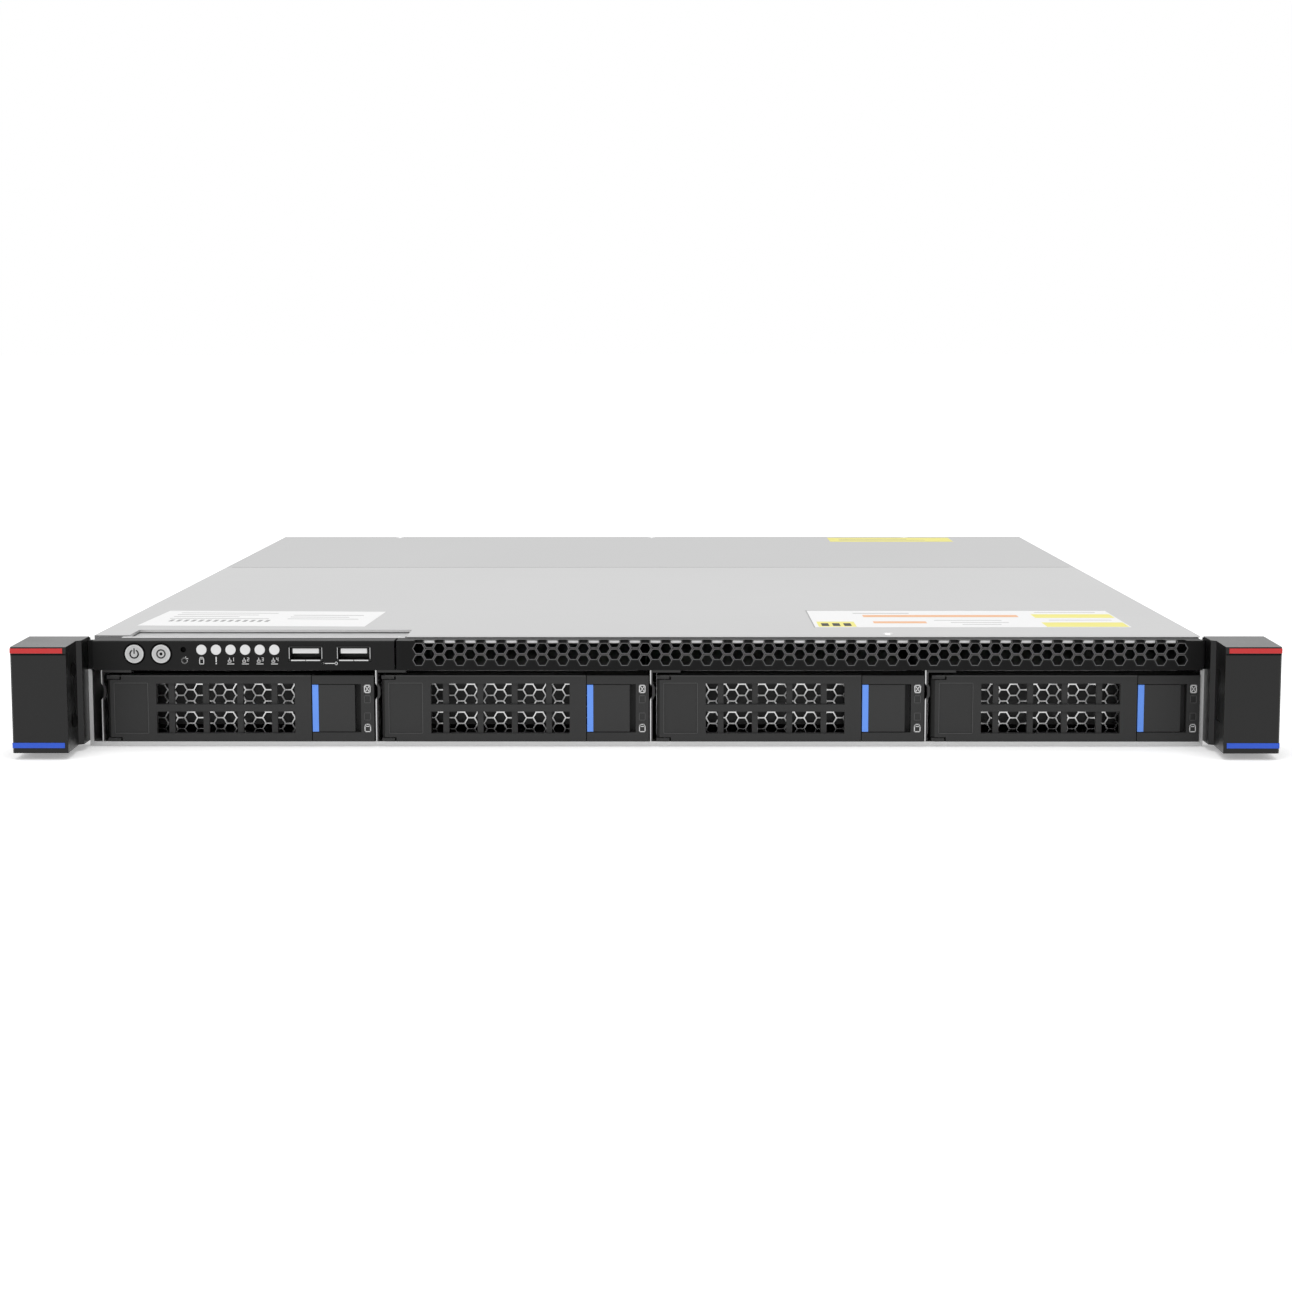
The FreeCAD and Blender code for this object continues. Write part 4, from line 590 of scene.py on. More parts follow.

# %% [markdown]
# ## Rims of the grille's holes
#
# A moulded edge is never quite sharp, so light catches it and each hole of the grille shows a fine
# pale line, laid on here as a pale ring of painted highlight. The same honeycomb tree draws all the
# lines at once as very thin rings. The row that crosses the fold is cut by it, so its rings are drawn
# one by one, with the bridge sheet behind them made bright as painted highlight.

# %% Grille rims
grille_low, grille_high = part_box("front_grille")
HOLE_PITCH = 8.05 * MM
HOLE_RADIUS = 3.94 * MM / math.sqrt(3)
END_MARGIN = 8.8 * MM
TOP_MARGIN = 3 * MM
rise = HOLE_PITCH / math.sqrt(3)
first = (grille_low.x + END_MARGIN, grille_high.z - TOP_MARGIN)
columns = int((grille_high.x - END_MARGIN - first[0]) / HOLE_PITCH + 0.1) + 1
# Each rim is a thin pale ring of painted highlight on a hole's edge.
rim_values = {"Columns": columns, "Rows": 2, "Between Columns": columns - 1, "Between Rows": 1,
              "Pitch": HOLE_PITCH, "Side": HOLE_RADIUS + 0.2 * MM, "Web": WEB, "Finish": RIM}
rims = grown(HONEYCOMB, rim_values, wall=0.04 * MM)
rims.transform(Matrix.Translation((first[0], grille_low.y - 0.01 * MM, first[1] - rise)))
carry("grille_rims", rims, RIM, "chassis")
print("rims round", columns * 2 + columns - 1, "holes")

# %% Rims of painted highlight and a painted-highlight sheet at the fold
crossing = first[1] + rise / 2
fold_height = grille_high.z - 0.1 * MM
reach = HOLE_RADIUS + 0.1 * MM
cut = (fold_height - crossing) / math.sqrt(3)
lowest = crossing - reach * math.sqrt(3) / 2
GLOW_HALF = 1.95 * MM
# The rims at the fold are painted highlight, and the bright slabs behind them are painted highlight on the
# bridge sheet.
fold, glow = bmesh.new(), bmesh.new()
for k in range(columns - 1):
    middle = first[0] + (k + 0.5) * HOLE_PITCH
    left, right = middle - reach, middle + reach
    corners = [(left + cut, fold_height), (left, crossing), (middle - reach / 2, lowest),
               (middle + reach / 2, lowest), (right, crossing), (right - cut, fold_height)]
    outline(fold, corners, 0.2 * MM, *skin(grille_low.y), closed=False)
    slab(glow, (middle - GLOW_HALF, grille_low.y + 1.6 * MM, crossing - 0.4 * MM),
         (middle + GLOW_HALF, grille_low.y + 1.75 * MM, fold_height))
piece("fold_rims", fold, RIM, "chassis")
piece("bridge_painted_highlight", glow, PAINTED_HIGHLIGHT, "chassis")
print("rims of", columns - 1, "holes at the fold")

# %% [markdown]
# ## Sheet edges at the front
#
# Cut and folded edges of bright sheet catch the light: the front edges of the side walls, the lip of
# the lid over the plastic strip, and the hem of the bridge beside the control panel. The wall edges
# and the hem are pale slabs of painted highlight; the lip keeps the lid's own sheet.

# %% Sheet edges
pan_low, pan_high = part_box("chassis_pan")
bezel_low, bezel_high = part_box("control_panel_bezel")
cover_low, cover_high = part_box("front_cover")
WALL_EDGE = (0.9 * MM, 30.2 * MM)
LIP_LEFT = -94.4 * MM
LIP_THICK = 0.25 * MM
HEM = (-207 * MM, -95 * MM)
HEM_THICK = 0.12 * MM
FILLER_INNER = 216.7 * MM


def both_sides(bm, inner, outer, front, back, low, high):
    """The same slab at the left and at the right of the chassis."""
    slab(bm, (-outer, front, low), (-inner, back, high))
    slab(bm, (inner, front, low), (outer, back, high))


bm = bmesh.new()
# Pale slabs on the side walls' front edges: painted highlight.
both_sides(bm, pan_high.x - 1.5 * MM, pan_high.x - 0.02 * MM,
           pan_low.y - 0.05 * MM, pan_low.y + 0.3 * MM, *WALL_EDGE)
piece("wall_edges", bm, PAINTED_HIGHLIGHT, "chassis")
bm = bmesh.new()
slab(bm, (LIP_LEFT, 1.2 * MM, cover_high.z - LIP_THICK),
     (cover_high.x - 0.4 * MM, cover_low.y + 0.1 * MM, cover_high.z))
piece("lid_lip", bm, COVER, "front_cover")
bm = bmesh.new()
# A pale slab on the bridge's hem: painted highlight.
slab(bm, (HEM[0], 1.0 * MM, grille_high.z), (HEM[1], 4.5 * MM, grille_high.z + HEM_THICK))
piece("bridge_hem", bm, PAINTED_HIGHLIGHT, "chassis")
bm = bmesh.new()
both_sides(bm, FILLER_INNER, pan_high.x - 0.1 * MM, -5.2 * MM, -2.4 * MM,
           bezel_low.z + 0.4 * MM, bezel_high.z - 0.2 * MM)
piece("corner_fillers", bm, BEZEL, "chassis")
print("sheet edges ready")

# %% [markdown]
# ## Marks on the control panel
#
# The signs beside lamps and buttons are printed in white ink a few hundredths of a millimetre
# thick. Thin raised strokes show crisply from every side and need no image.


# %% Marks beside the lamps
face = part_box("control_panel_bezel")[0].y
INK = skin(face, 0.05 * MM)
lens_low, lens_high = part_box("status_lenses")
lens_radius = (lens_high.z - lens_low.z) / 2
lens_pitch = (lens_high.x - lens_low.x - 2 * lens_radius) / 5
lamp_places = [lens_low.x + lens_radius + k * lens_pitch for k in range(6)]
mark_height = lens_low.z - 2.3 * MM
DIGITS = {1: [[(0, -1), (0, 1)]], 2: [[(-0.5, 1), (0.5, 1), (0.5, 0), (-0.5, 0), (-0.5, -1), (0.5, -1)]],
          3: [[(-0.5, 1), (0.5, 1), (0.5, -1), (-0.5, -1)], [(-0.3, 0), (0.5, 0)]],
          4: [[(-0.5, 1), (-0.5, 0), (0.5, 0)], [(0.5, 1), (0.5, -1)]]}


def at(place, points, scale=1.0):
    """Points in millimetres around a place on the panel."""
    return [(place[0] + u * scale * MM, place[1] + v * scale * MM) for u, v in points]


def panel_marks():
    bm = bmesh.new()
    disk = (lamp_places[0], mark_height)
    alert = (lamp_places[1], mark_height)
    sides = [(-0.8, -1.3), (0.8, -1.3), (0.8, 0.8), (0.5, 1.3), (-0.5, 1.3), (-0.8, 0.8)]
    outline(bm, at(disk, sides), 0.3 * MM, *INK)
    outline(bm, at(disk, [(-0.4, 0.7), (0.4, 0.7)]), 0.3 * MM, *INK, closed=False)
    outline(bm, at(alert, [(0, 1.3), (0, -0.4)]), 0.42 * MM, *INK, closed=False)
    outline(bm, at(alert, [(0, -1.1), (0, -1.2)]), 0.42 * MM, *INK, closed=False)
    for number in range(1, 5):
        place = (lamp_places[number + 1], mark_height)
        outline(bm, at(place, [(-1.2, -1.3), (1.2, -1.3)]), 0.28 * MM, *INK, closed=False)
        outline(bm, at(place, [(-1.0, -0.6), (0.1, -0.6), (0.1, 0.2), (-1.0, 0.2)]), 0.26 * MM, *INK)
        outline(bm, at(place, [(-0.45, 0.2), (-0.45, 1.0)]), 0.26 * MM, *INK, closed=False)
        beside = (place[0] + 1.1 * MM, place[1] + 0.5 * MM)
        for line in DIGITS[number]:
            outline(bm, at(beside, line, 0.62), 0.2 * MM, *INK, closed=False)
    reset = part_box("reset_button")
    ring = ((reset[0].x + reset[1].x) / 2, mark_height)
    outline(bm, arc(ring, 1.1 * MM, 60, 360), 0.28 * MM, *INK, closed=False)
    outline(bm, at(ring, [(0.5, 1.5), (0.5, 0.7), (1.3, 0.8)]), 0.25 * MM, *INK, closed=False)
    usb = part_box("usb_ports")
    plug = ((usb[0].x + usb[1].x) / 2, usb[0].z - 0.9 * MM)
    outline(bm, at(plug, [(-2.2, 0), (2.2, 0)]), 0.28 * MM, *INK, closed=False)
    outline(bm, arc((plug[0] - 2.4 * MM, plug[1]), 0.35 * MM, 0, 340), 0.35 * MM, *INK)
    outline(bm, at(plug, [(2.2, -0.5), (3.0, -0.5), (3.0, 0.5), (2.2, 0.5)]), 0.25 * MM, *INK)
    piece("panel_marks", bm, WHITE_INK, "chassis")


panel_marks()
print("lamps every", round(lens_pitch / MM, 2), "mm")

# %% [markdown]
# ## Marks on the buttons
#
# The signs on the two round buttons are dark ink. They ride on their buttons, so they go in with
# them. One function draws both from a list of lines around the middle of the button.

# %% Marks on the buttons
def button_mark(name, lines, width):
    low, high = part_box(name)
    place = ((low.x + high.x) / 2, (low.z + high.z) / 2)
    bm = bmesh.new()
    for line in lines(place):
        outline(bm, line, width, *skin(low.y, 0.04 * MM), closed=False)
    piece(f"{name}_mark", bm, DARK_INK, name)


button_mark("power_button", lambda c: [arc(c, 1.6 * MM, 125, 415), at(c, [(0, 0.3), (0, 2.0)])], 0.5 * MM)
button_mark("id_button", lambda c: [arc(c, 1.6 * MM, 0, 360), arc(c, 0.3 * MM, 0, 340)], 0.48 * MM)
print("button marks ready")

# %% [markdown]
# ## Inside the front sockets
#
# A USB socket is a steel shell with a pale tongue that carries the contacts, and its lower rim has
# spring leaves. The CAD part has the shell, and thin slabs add what shows in the mouth.

# %% Tongues and springs of the front sockets
usb_low, usb_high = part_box("usb_ports")
usb_middle = (usb_low.z + usb_high.z) / 2
tongues, springs = bmesh.new(), bmesh.new()
for centre in (usb_low.x + 6.6 * MM, usb_high.x - 6.6 * MM):
    slab(tongues, (centre - 5.1 * MM, usb_low.y + 0.7 * MM, usb_middle + 0.05 * MM),
         (centre + 5.1 * MM, usb_low.y + 1.0 * MM, usb_middle + 1.95 * MM))
    for left, right in ((-5.7, -0.15), (0.15, 5.7)):
        slab(springs, (centre + left * MM, usb_low.y - 0.05 * MM, usb_low.z + 0.02 * MM),
             (centre + right * MM, usb_low.y + 0.02 * MM, usb_low.z + 0.5 * MM))
    for side in (-6.5, 6.3):
        slab(springs, (centre + side * MM, usb_low.y - 0.03 * MM, usb_low.z + 0.9 * MM),
             (centre + (side + 0.2) * MM, usb_low.y + 0.02 * MM, usb_high.z - 0.5 * MM))
piece("usb_tongues", tongues, TONGUE, "chassis")
# The spring leaves are real parts, and their pale paint is painted highlight.
piece("usb_springs", springs, PAINTED_HIGHLIGHT, "chassis")
print("socket details ready")


# %% [markdown]
# ## Seats and rims of the buttons
#
# A button stands in a hole with a little clearance; the shade in that gap is painted as a dark
# ring. The button's edge is painted pale, as painted highlight. Both are flat rings made from four
# circles of points, joined in turn.

# %% Painted shade around the buttons and painted highlight on their edges
def ring_mesh(bm, centre, inner, outer, front, back, sides=48):
    """Flat ring on a front face."""
    rows = []
    for radius, depth in ((inner, back), (inner, front), (outer, front), (outer, back)):
        turn = [2 * math.pi * k / sides for k in range(sides)]
        rows.append([bm.verts.new((centre[0] + radius * math.cos(a), depth, centre[1] + radius * math.sin(a)))
                     for a in turn])
    for first, second in zip(rows, rows[1:] + rows[:1]):
        for k in range(sides):
            bm.faces.new((first[k], first[(k + 1) % sides], second[(k + 1) % sides], second[k]))


BUTTONS = ("power_button", "id_button")
SEAT = (3.7 * MM, 4.35 * MM)
BUTTON_RIM = (3.2 * MM, 3.55 * MM)


def button_centre(name):
    """Middle of a round button on the panel, as (x, z)."""
    low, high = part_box(name)
    return ((low.x + high.x) / 2, (low.z + high.z) / 2)


# Dark rings of painted shade in the gap around each button.
bm = bmesh.new()
for name in BUTTONS:
    ring_mesh(bm, button_centre(name), *SEAT, face - 0.06 * MM, face + 0.3 * MM)
piece("button_seat_shade", bm, DEEP_BLACK, "chassis")
# Pale rings of painted highlight on each button's edge.
for name in BUTTONS:
    bm = bmesh.new()
    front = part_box(name)[0].y
    ring_mesh(bm, button_centre(name), *BUTTON_RIM, front - 0.03 * MM, front + 0.05 * MM)
    piece(f"{name}_rim", bm, PAINTED_HIGHLIGHT, name)
print("button seats ready")


# %% [markdown]
# ## Marks on the carriers
#
# Beside the two lamps of each drive is a printed sign: a crossed box for a fault above, and a disk
# for activity below. They belong to the carrier, so they slide out with it.

# %% Marks on the carriers
def carrier_marks(k):
    low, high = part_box(f"carrier_frame_{k}")
    front, back = skin(low.y, 0.04 * MM)
    right = high.x - 2.55 * MM
    bm = bmesh.new()
    error = (right, 22.9 * MM)
    outline(bm, at(error, [(-1.1, -1.45), (1.1, -1.45), (1.1, 1.45), (-1.1, 1.45)]), 0.34 * MM, front, back)
    for start, end in (((-0.7, -1.0), (0.7, 1.0)), ((-0.7, 1.0), (0.7, -1.0))):
        outline(bm, at(error, [start, end]), 0.3 * MM, front, back, closed=False)
    disk = (right, 7.4 * MM)
    outline(bm, at(disk, [(-1.1, -1.45), (1.1, -1.45), (1.1, 0.8), (0.6, 1.45), (-0.6, 1.45), (-1.1, 0.8)]),
            0.34 * MM, front, back)
    outline(bm, at(disk, [(-0.5, 0.6), (0.5, 0.6)]), 0.3 * MM, front, back, closed=False)
    piece(f"carrier_marks_{k}", bm, WHITE_INK, f"carrier_{k}")


for k in BAYS:
    carrier_marks(k)
print("carrier marks ready")


# %% [markdown]
# ## Edges of the carriers
#
# Black mouldings are told apart by the pale line where light catches their edges. A bevel would
# catch that light itself, but these edges are sharp, so a fine line of a paler black is laid on them
# as painted highlight. Small caps cover the ends of the lever's pin, and each lamp window gets a
# frame of the same painted highlight and a dark glass.

# %% Painted highlight on the edges of the carriers' mouldings
def box_line(bm, left, right, low, high, width, front, back):
    """Outline of an upright rectangle on a front face."""
    outline(bm, [(left, low), (right, low), (right, high), (left, high)], width, front, back)


BAY_INSET = 2.6 * MM
PAD_ACROSS = (5.4 * MM, 18.6 * MM)
PAD_UP = (5.3 * MM, 25.2 * MM)
CAP_ACROSS = (3.8 * MM, 7.6 * MM)
CAP_TALL = 1.35 * MM
LAMP_HEIGHTS = (11.95, 18.8)


def lever_edges(k):
    """Painted highlight on the edge of the lever's label pad and on the top edge of the lever."""
    low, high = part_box(f"carrier_lever_{k}")
    left = low.x - BAY_INSET
    top = high.z - 0.12 * MM
    bm = bmesh.new()
    box_line(bm, left + PAD_ACROSS[0], left + PAD_ACROSS[1], *PAD_UP, 0.16 * MM, *skin(low.y))
    stroke(bm, (low.x + 1.4 * MM, top), (high.x - 0.2 * MM, top), 0.2 * MM, *skin(low.y))
    piece(f"lever_edges_{k}", bm, EDGE, f"lever_{k}")


def hinge_caps(k):
    """Caps over both ends of the lever's pin."""
    low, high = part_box(f"carrier_frame_{k}")
    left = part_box(f"carrier_lever_{k}")[0].x - BAY_INSET
    bm = bmesh.new()
    for bottom, top in ((low.z, low.z + CAP_TALL), (high.z - CAP_TALL, high.z)):
        slab(bm, (left + CAP_ACROSS[0], low.y + 0.05 * MM, bottom),
             (left + CAP_ACROSS[1], low.y + 0.3 * MM, top))
    piece(f"hinge_caps_{k}", bm, CARRIER, f"carrier_{k}")


def lamp_windows(k):
    """Frame of painted highlight and dark glass of the two lamp windows."""
    low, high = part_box(f"carrier_frame_{k}")
    frames, panes = bmesh.new(), bmesh.new()
    for height in LAMP_HEIGHTS:
        box_line(frames, high.x - 3.7 * MM, high.x - 1.4 * MM, (height - 1.4) * MM, (height + 1.4) * MM,
                 0.2 * MM, *skin(low.y))
        slab(panes, (high.x - 3.6 * MM, low.y + 0.3 * MM, (height - 1.3) * MM),
             (high.x - 1.5 * MM, low.y + 0.49 * MM, (height + 1.3) * MM))
    piece(f"lamp_frames_{k}", frames, EDGE, f"carrier_{k}")
    piece(f"lamp_glass_{k}", panes, GLOSS_BLACK, f"carrier_{k}")


for k in BAYS:
    lever_edges(k)
    hinge_caps(k)
    lamp_windows(k)
print("edges ready")

# %% [markdown]
# ## Details of the ears
#
# Each ear has a dark shadow line under its red bar. The left one shows two dark ovals on its inner
# side, laid on as thin pieces and not cut. The places of names and badges stay bare.

# %% Ears
def oval(bm, x, y, z, half_deep, half_tall, thick, sides=24):
    """Flat oval on a face that looks along X."""
    turns = [2 * math.pi * k / sides for k in range(sides)]
    rim = [(y + half_deep * math.cos(a), z + half_tall * math.sin(a)) for a in turns]
    rows = [[bm.verts.new((x + shift, v, w)) for v, w in rim] for shift in (0.0, thick)]
    for k in range(sides):
        bm.faces.new((rows[0][k], rows[0][(k + 1) % sides], rows[1][(k + 1) % sides], rows[1][k]))
    bm.faces.new(rows[0])
    bm.faces.new(rows[1][::-1])


red_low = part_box("ear_red_inlays")[0].z
BAR_ENDS = (1.4 * MM, 22.4 * MM)
OVAL_HEIGHTS = (33, 13)
ear_low, ear_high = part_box("ear_housing_left")
bm = bmesh.new()
for name in ("ear_housing_left", "ear_housing_right"):
    low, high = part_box(name)
    if low.x < 0:
        left, right = low.x + BAR_ENDS[0], low.x + BAR_ENDS[1]
    else:
        left, right = high.x - BAR_ENDS[1], high.x - BAR_ENDS[0]
    slab(bm, (left, low.y - 0.02 * MM, red_low - 0.75 * MM), (right, low.y + 0.05 * MM, red_low - 0.25 * MM))
for height in OVAL_HEIGHTS:
    oval(bm, -220.05 * MM, -24.5 * MM, height * MM, 4.0 * MM, 2.6 * MM, 0.08 * MM)
piece("ear_shadows", bm, DEEP_BLACK, "chassis")
print("ears", round((ear_high.z - ear_low.z) / MM, 1), "mm tall")

# %% [markdown]
# ## Labels on the lids
#
# The lids carry a plain white type label, a wide service label and a narrow yellow one at the
# back. They stay blank apart from colour fields and grey lines, as thin slabs on the sheet.

# %% Labels
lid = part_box("front_cover")[1].z


def flat_piece(name, fields, finish, body, level=0.0, turn=0.0, centre=(0, 0)):
    """Thin fields on a lid, each (left, right, front, back) in millimetres."""
    bm = bmesh.new()
    for left, right, front, back in fields:
        slab(bm, (left * MM, front * MM, lid - 0.02 * MM), (right * MM, back * MM, lid + (0.05 + level) * MM))
    shift = Matrix.Translation((centre[0] * MM, centre[1] * MM, 0))
    spin = shift @ Matrix.Rotation(math.radians(turn), 4, "Z")
    bmesh.ops.transform(bm, matrix=spin, verts=bm.verts)
    piece(name, bm, finish, body)


TYPE_LABEL = {"turn": -2.5, "centre": (-160.9, 66.4)}
flat_piece("type_label", [(-47, 47, -28, 28)], PAPER, "front_cover", **TYPE_LABEL)
left_lines = [(-40, 2 - 7 * (k % 3), y, y + 1.3) for k, y in enumerate((19, 12, 5, -2))]
right_lines = [(10, 40 - 5 * (k % 2), y, y + 1.3) for k, y in enumerate((12, 5, -2))]
bars = [(-38 + 3.1 * k, -36.4 + 3.1 * k, -13, -6) for k in range(14)]
flat_piece("type_label_lines", left_lines + right_lines + bars, GREY_INK, "front_cover", 0.02, **TYPE_LABEL)
flat_piece("service_label", [(68.4, 197.6, 34, 96.9)], PAPER, "front_cover")
flat_piece("service_yellow", [(70.5, 86, 35.5, 54), (163.5, 197, 68, 82), (163.5, 197, 35, 51)],
           YELLOW, "front_cover", 0.02)
flat_piece("service_orange", [(91.5, 157, 71, 79), (94, 116, 48, 55)], ORANGE, "front_cover", 0.02)
flat_piece("service_lines", [(68.4, 197.6, 96.2, 96.9), (68.4, 68.9, 34, 96.9), (88, 112, 85, 86.5),
                             (120, 148, 58, 59), (126, 150, 50, 51), (130, 146, 43, 44),
                             (166, 192, 88, 89), (168, 194, 59, 60)], GREY_INK, "front_cover", 0.03)
blocks = [(72 + 4.6 * k, 75 + 4.6 * k, 38, 48) for k in range(3)]
flat_piece("service_blocks", blocks, DARK_INK, "front_cover", 0.04)
flat_piece("back_label", [(104, 175.5, 468.5, 498)], YELLOW, "rear_cover")
flat_piece("back_label_lines", [(110, 160, 478, 480), (110, 150, 486, 488)], GREY_INK, "rear_cover", 0.02)
flat_piece("seam_shade", [(-216, 216, 304.0, 304.5)], DARK_INK, "front_cover", -0.03)
print("labels at height", round(lid / MM, 2), "mm")

# %% [markdown]
# ## Sockets at the back
#
# Sockets are dark inside with bright contacts. A black material on the CAD part would darken its
# shell too, so each mouth is lined with thin black walls instead, and the pins are small slabs.

# %% Sockets at the back
def lining(bm, low, high, wall):
    """Open box that lines a mouth facing +Y: back wall and four sides."""
    slab(bm, low, (high[0], low[1] + wall, high[2]))
    slab(bm, low, (low[0] + wall, high[1], high[2]))
    slab(bm, (high[0] - wall, low[1], low[2]), high)
    slab(bm, low, (high[0], high[1], low[2] + wall))
    slab(bm, (low[0], low[1], high[2] - wall), high)


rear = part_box("rear_panel")[1].y
MOUTH_HALF = 5.88 * MM
MOUTH_LOW = 9.85 * MM
MOUTH_HIGH = 18.15 * MM
MOUTH_DEEP = 11.7 * MM
CONTACT_PITCH = 1.02 * MM
CONTACT_HALF = 0.25 * MM
linings, contacts = bmesh.new(), bmesh.new()
for middle in (6 * MM, 24 * MM, 42 * MM):
    lining(linings, (middle - MOUTH_HALF, rear - MOUTH_DEEP, MOUTH_LOW),
           (middle + MOUTH_HALF, rear + 0.1 * MM, MOUTH_HIGH), 0.1 * MM)
    for pin in range(8):
        place = middle + (pin - 3.5) * CONTACT_PITCH
        slab(contacts, (place - CONTACT_HALF, rear - 9 * MM, 17.3 * MM),
             (place + CONTACT_HALF, rear - 2 * MM, 17.7 * MM))
piece("port_linings", linings, DEEP_BLACK, "chassis")
piece("port_contacts", contacts, GOLD, "chassis")
print("network sockets lined")

# %% Video connector
VIDEO_MIDDLE = -46
VIDEO_PITCH = 2.6
VIDEO_STAGGER = 0.6
VIDEO_FACE = rear + 3.01 * MM
bm = bmesh.new()
slab(bm, ((VIDEO_MIDDLE - 8.2) * MM, VIDEO_FACE, 10.5 * MM),
     ((VIDEO_MIDDLE + 8.2) * MM, VIDEO_FACE + 0.04 * MM, 17.3 * MM))
piece("video_insert", bm, BLUE, "chassis")
# Dark squares of painted shade stand for the pin holes in the blue insert.
bm = bmesh.new()
for row in range(3):
    height = 12 + 2 * row
    for k in range(5):
        place = VIDEO_MIDDLE + (k - 2) * VIDEO_PITCH + (row % 2) * VIDEO_STAGGER
        slab(bm, ((place - 0.4) * MM, VIDEO_FACE + 0.01 * MM, (height - 0.4) * MM),
             ((place + 0.4) * MM, VIDEO_FACE + 0.09 * MM, (height + 0.4) * MM))
piece("video_pin_hole_shade", bm, DEEP_BLACK, "chassis")
print("video connector ready")

# %% [markdown]
# ## The power supplies
#
# Each supply has a mains inlet, a black moulding with three blades. The lining function makes it
# twice: deep, for the walls of the recess, and again at the mouth. The second one is shallower
# than its wall is thick, so it closes the mouth as a flat plate and the blades stand hidden behind
# it; a thinner wall would open it. A green disc is the lamp. All ride on their supply.

# %% Power supplies
INLET_ACROSS = (12.1 * MM, 35.9 * MM)
INLET_UP = (5.1 * MM, 21.3 * MM)
INLET_DEEP = 15.8 * MM
INLET_WALL = 0.9 * MM
INLET_PLATE = 1.4 * MM
BLADES = ((-6.5, -1.5), (0.0, 2.5), (6.5, -1.5))
LAMP_PLACE = (8 * MM, 33 * MM)
LAMP_RADIUS = 1.3 * MM
LAMP_CORE = 0.0005 * MM


def supply_details(k):
    """Inlet, blades and lamp of power supply k."""
    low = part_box(f"power_supply_{k}")[0]
    left, right = low.x + INLET_ACROSS[0], low.x + INLET_ACROSS[1]
    bottom, top = low.z + INLET_UP[0], low.z + INLET_UP[1]
    bm = bmesh.new()
    lining(bm, (left, rear - INLET_DEEP, bottom), (right, rear + 0.2 * MM, top), INLET_WALL)
    lining(bm, (left, rear - 0.2 * MM, bottom), (right, rear + 0.3 * MM, top), INLET_PLATE)
    piece(f"inlet_lining_{k}", bm, GLOSS_BLACK, f"supply_{k}")
    bm = bmesh.new()
    for across, up in BLADES:
        x = (left + right) / 2 + across * MM
        z = (bottom + top) / 2 + up * MM
        slab(bm, (x - 1.0 * MM, rear - 14.8 * MM, z - 2.2 * MM),
             (x + 1.0 * MM, rear - 2.5 * MM, z + 2.2 * MM))
    piece(f"inlet_pins_{k}", bm, SOCKET, f"supply_{k}")
    bm = bmesh.new()
    lamp = (low.x + LAMP_PLACE[0], low.z + LAMP_PLACE[1])
    ring_mesh(bm, lamp, LAMP_CORE, LAMP_RADIUS, rear + 0.25 * MM, rear - 0.02 * MM, 20)
    piece(f"supply_lamp_{k}", bm, LED_GREEN, f"supply_{k}")


for k in (1, 2):
    supply_details(k)
print("supplies ready")


# %% [markdown]
# ## Screws
#
# Pan-head screws hold the lids, the rear panel and the mainboard. Their heads repeat, so one tree
# puts a tapered disc with a cross on each point that it is given. Its tilt turns the heads up or
# to the back, and the sizes are inputs, so that one tree serves every screw.

# %% Geometry Nodes: screws
def screw_tree():
    tree, start, end = new_group("screw_heads", "GeometryNodeTree", {
        "Points": ("NodeSocketGeometry", None), "Radius": ("NodeSocketFloat", 0.0025),
        "Height": ("NodeSocketFloat", 0.001), "Tilt": ("NodeSocketVector", (0.0, 0.0, 0.0)),
        "Finish": ("NodeSocketMaterial", None),
    }, {"Screws": "NodeSocketGeometry"})
    radius, height = start.outputs["Radius"], start.outputs["Height"]
    head = add(tree, "GeometryNodeMeshCone", {"fill_type": "NGON"}, {
        "Vertices": 20, "Radius Bottom": radius, "Depth": height,
        "Radius Top": math_node(tree, "MULTIPLY", radius, 0.75)})
    size = add(tree, "ShaderNodeCombineXYZ", None, {
        "X": math_node(tree, "MULTIPLY", radius, 1.1), "Y": math_node(tree, "MULTIPLY", radius, 0.25),
        "Z": math_node(tree, "MULTIPLY", height, 1.2)})
    slot = add(tree, "GeometryNodeMeshCube", None, {"Size": size.outputs[0]})
    turned = add(tree, "GeometryNodeTransform", None,
                 {"Geometry": slot.outputs["Mesh"], "Rotation": (0, 0, math.pi / 2)})
    cross = joined(tree, slot.outputs["Mesh"], turned.outputs[0])
    rise = add(tree, "ShaderNodeCombineXYZ", None, {"Z": math_node(tree, "MULTIPLY", height, 0.45)})
    lifted = add(tree, "GeometryNodeTransform", None, {"Geometry": cross, "Translation": rise.outputs[0]})
    placed = add(tree, "GeometryNodeInstanceOnPoints", None, {
        "Points": start.outputs["Points"], "Rotation": start.outputs["Tilt"],
        "Instance": joined(tree, head.outputs["Mesh"], lifted.outputs[0])})
    real = add(tree, "GeometryNodeRealizeInstances", None, {"Geometry": placed.outputs[0]})
    dressed = add(tree, "GeometryNodeSetMaterial", None,
                  {"Geometry": real.outputs[0], "Material": start.outputs["Finish"]})
    tree.links.new(dressed.outputs[0], end.inputs["Screws"])
    return tree


SCREWS = screw_tree()


def screws(name, places, body, tilt, radius=2.2, height=0.5):
    """Screw heads on points given in millimetres."""
    points = bpy.data.meshes.new(f"{name}_points")
    points.from_pydata([(x * MM, y * MM, z * MM) for x, y, z in places], [], [])
    values = {"Radius": radius * MM, "Height": height * MM, "Tilt": tilt, "Finish": BRIGHT_STEEL}
    carry(name, grown(SCREWS, values, points), BRIGHT_STEEL, body)


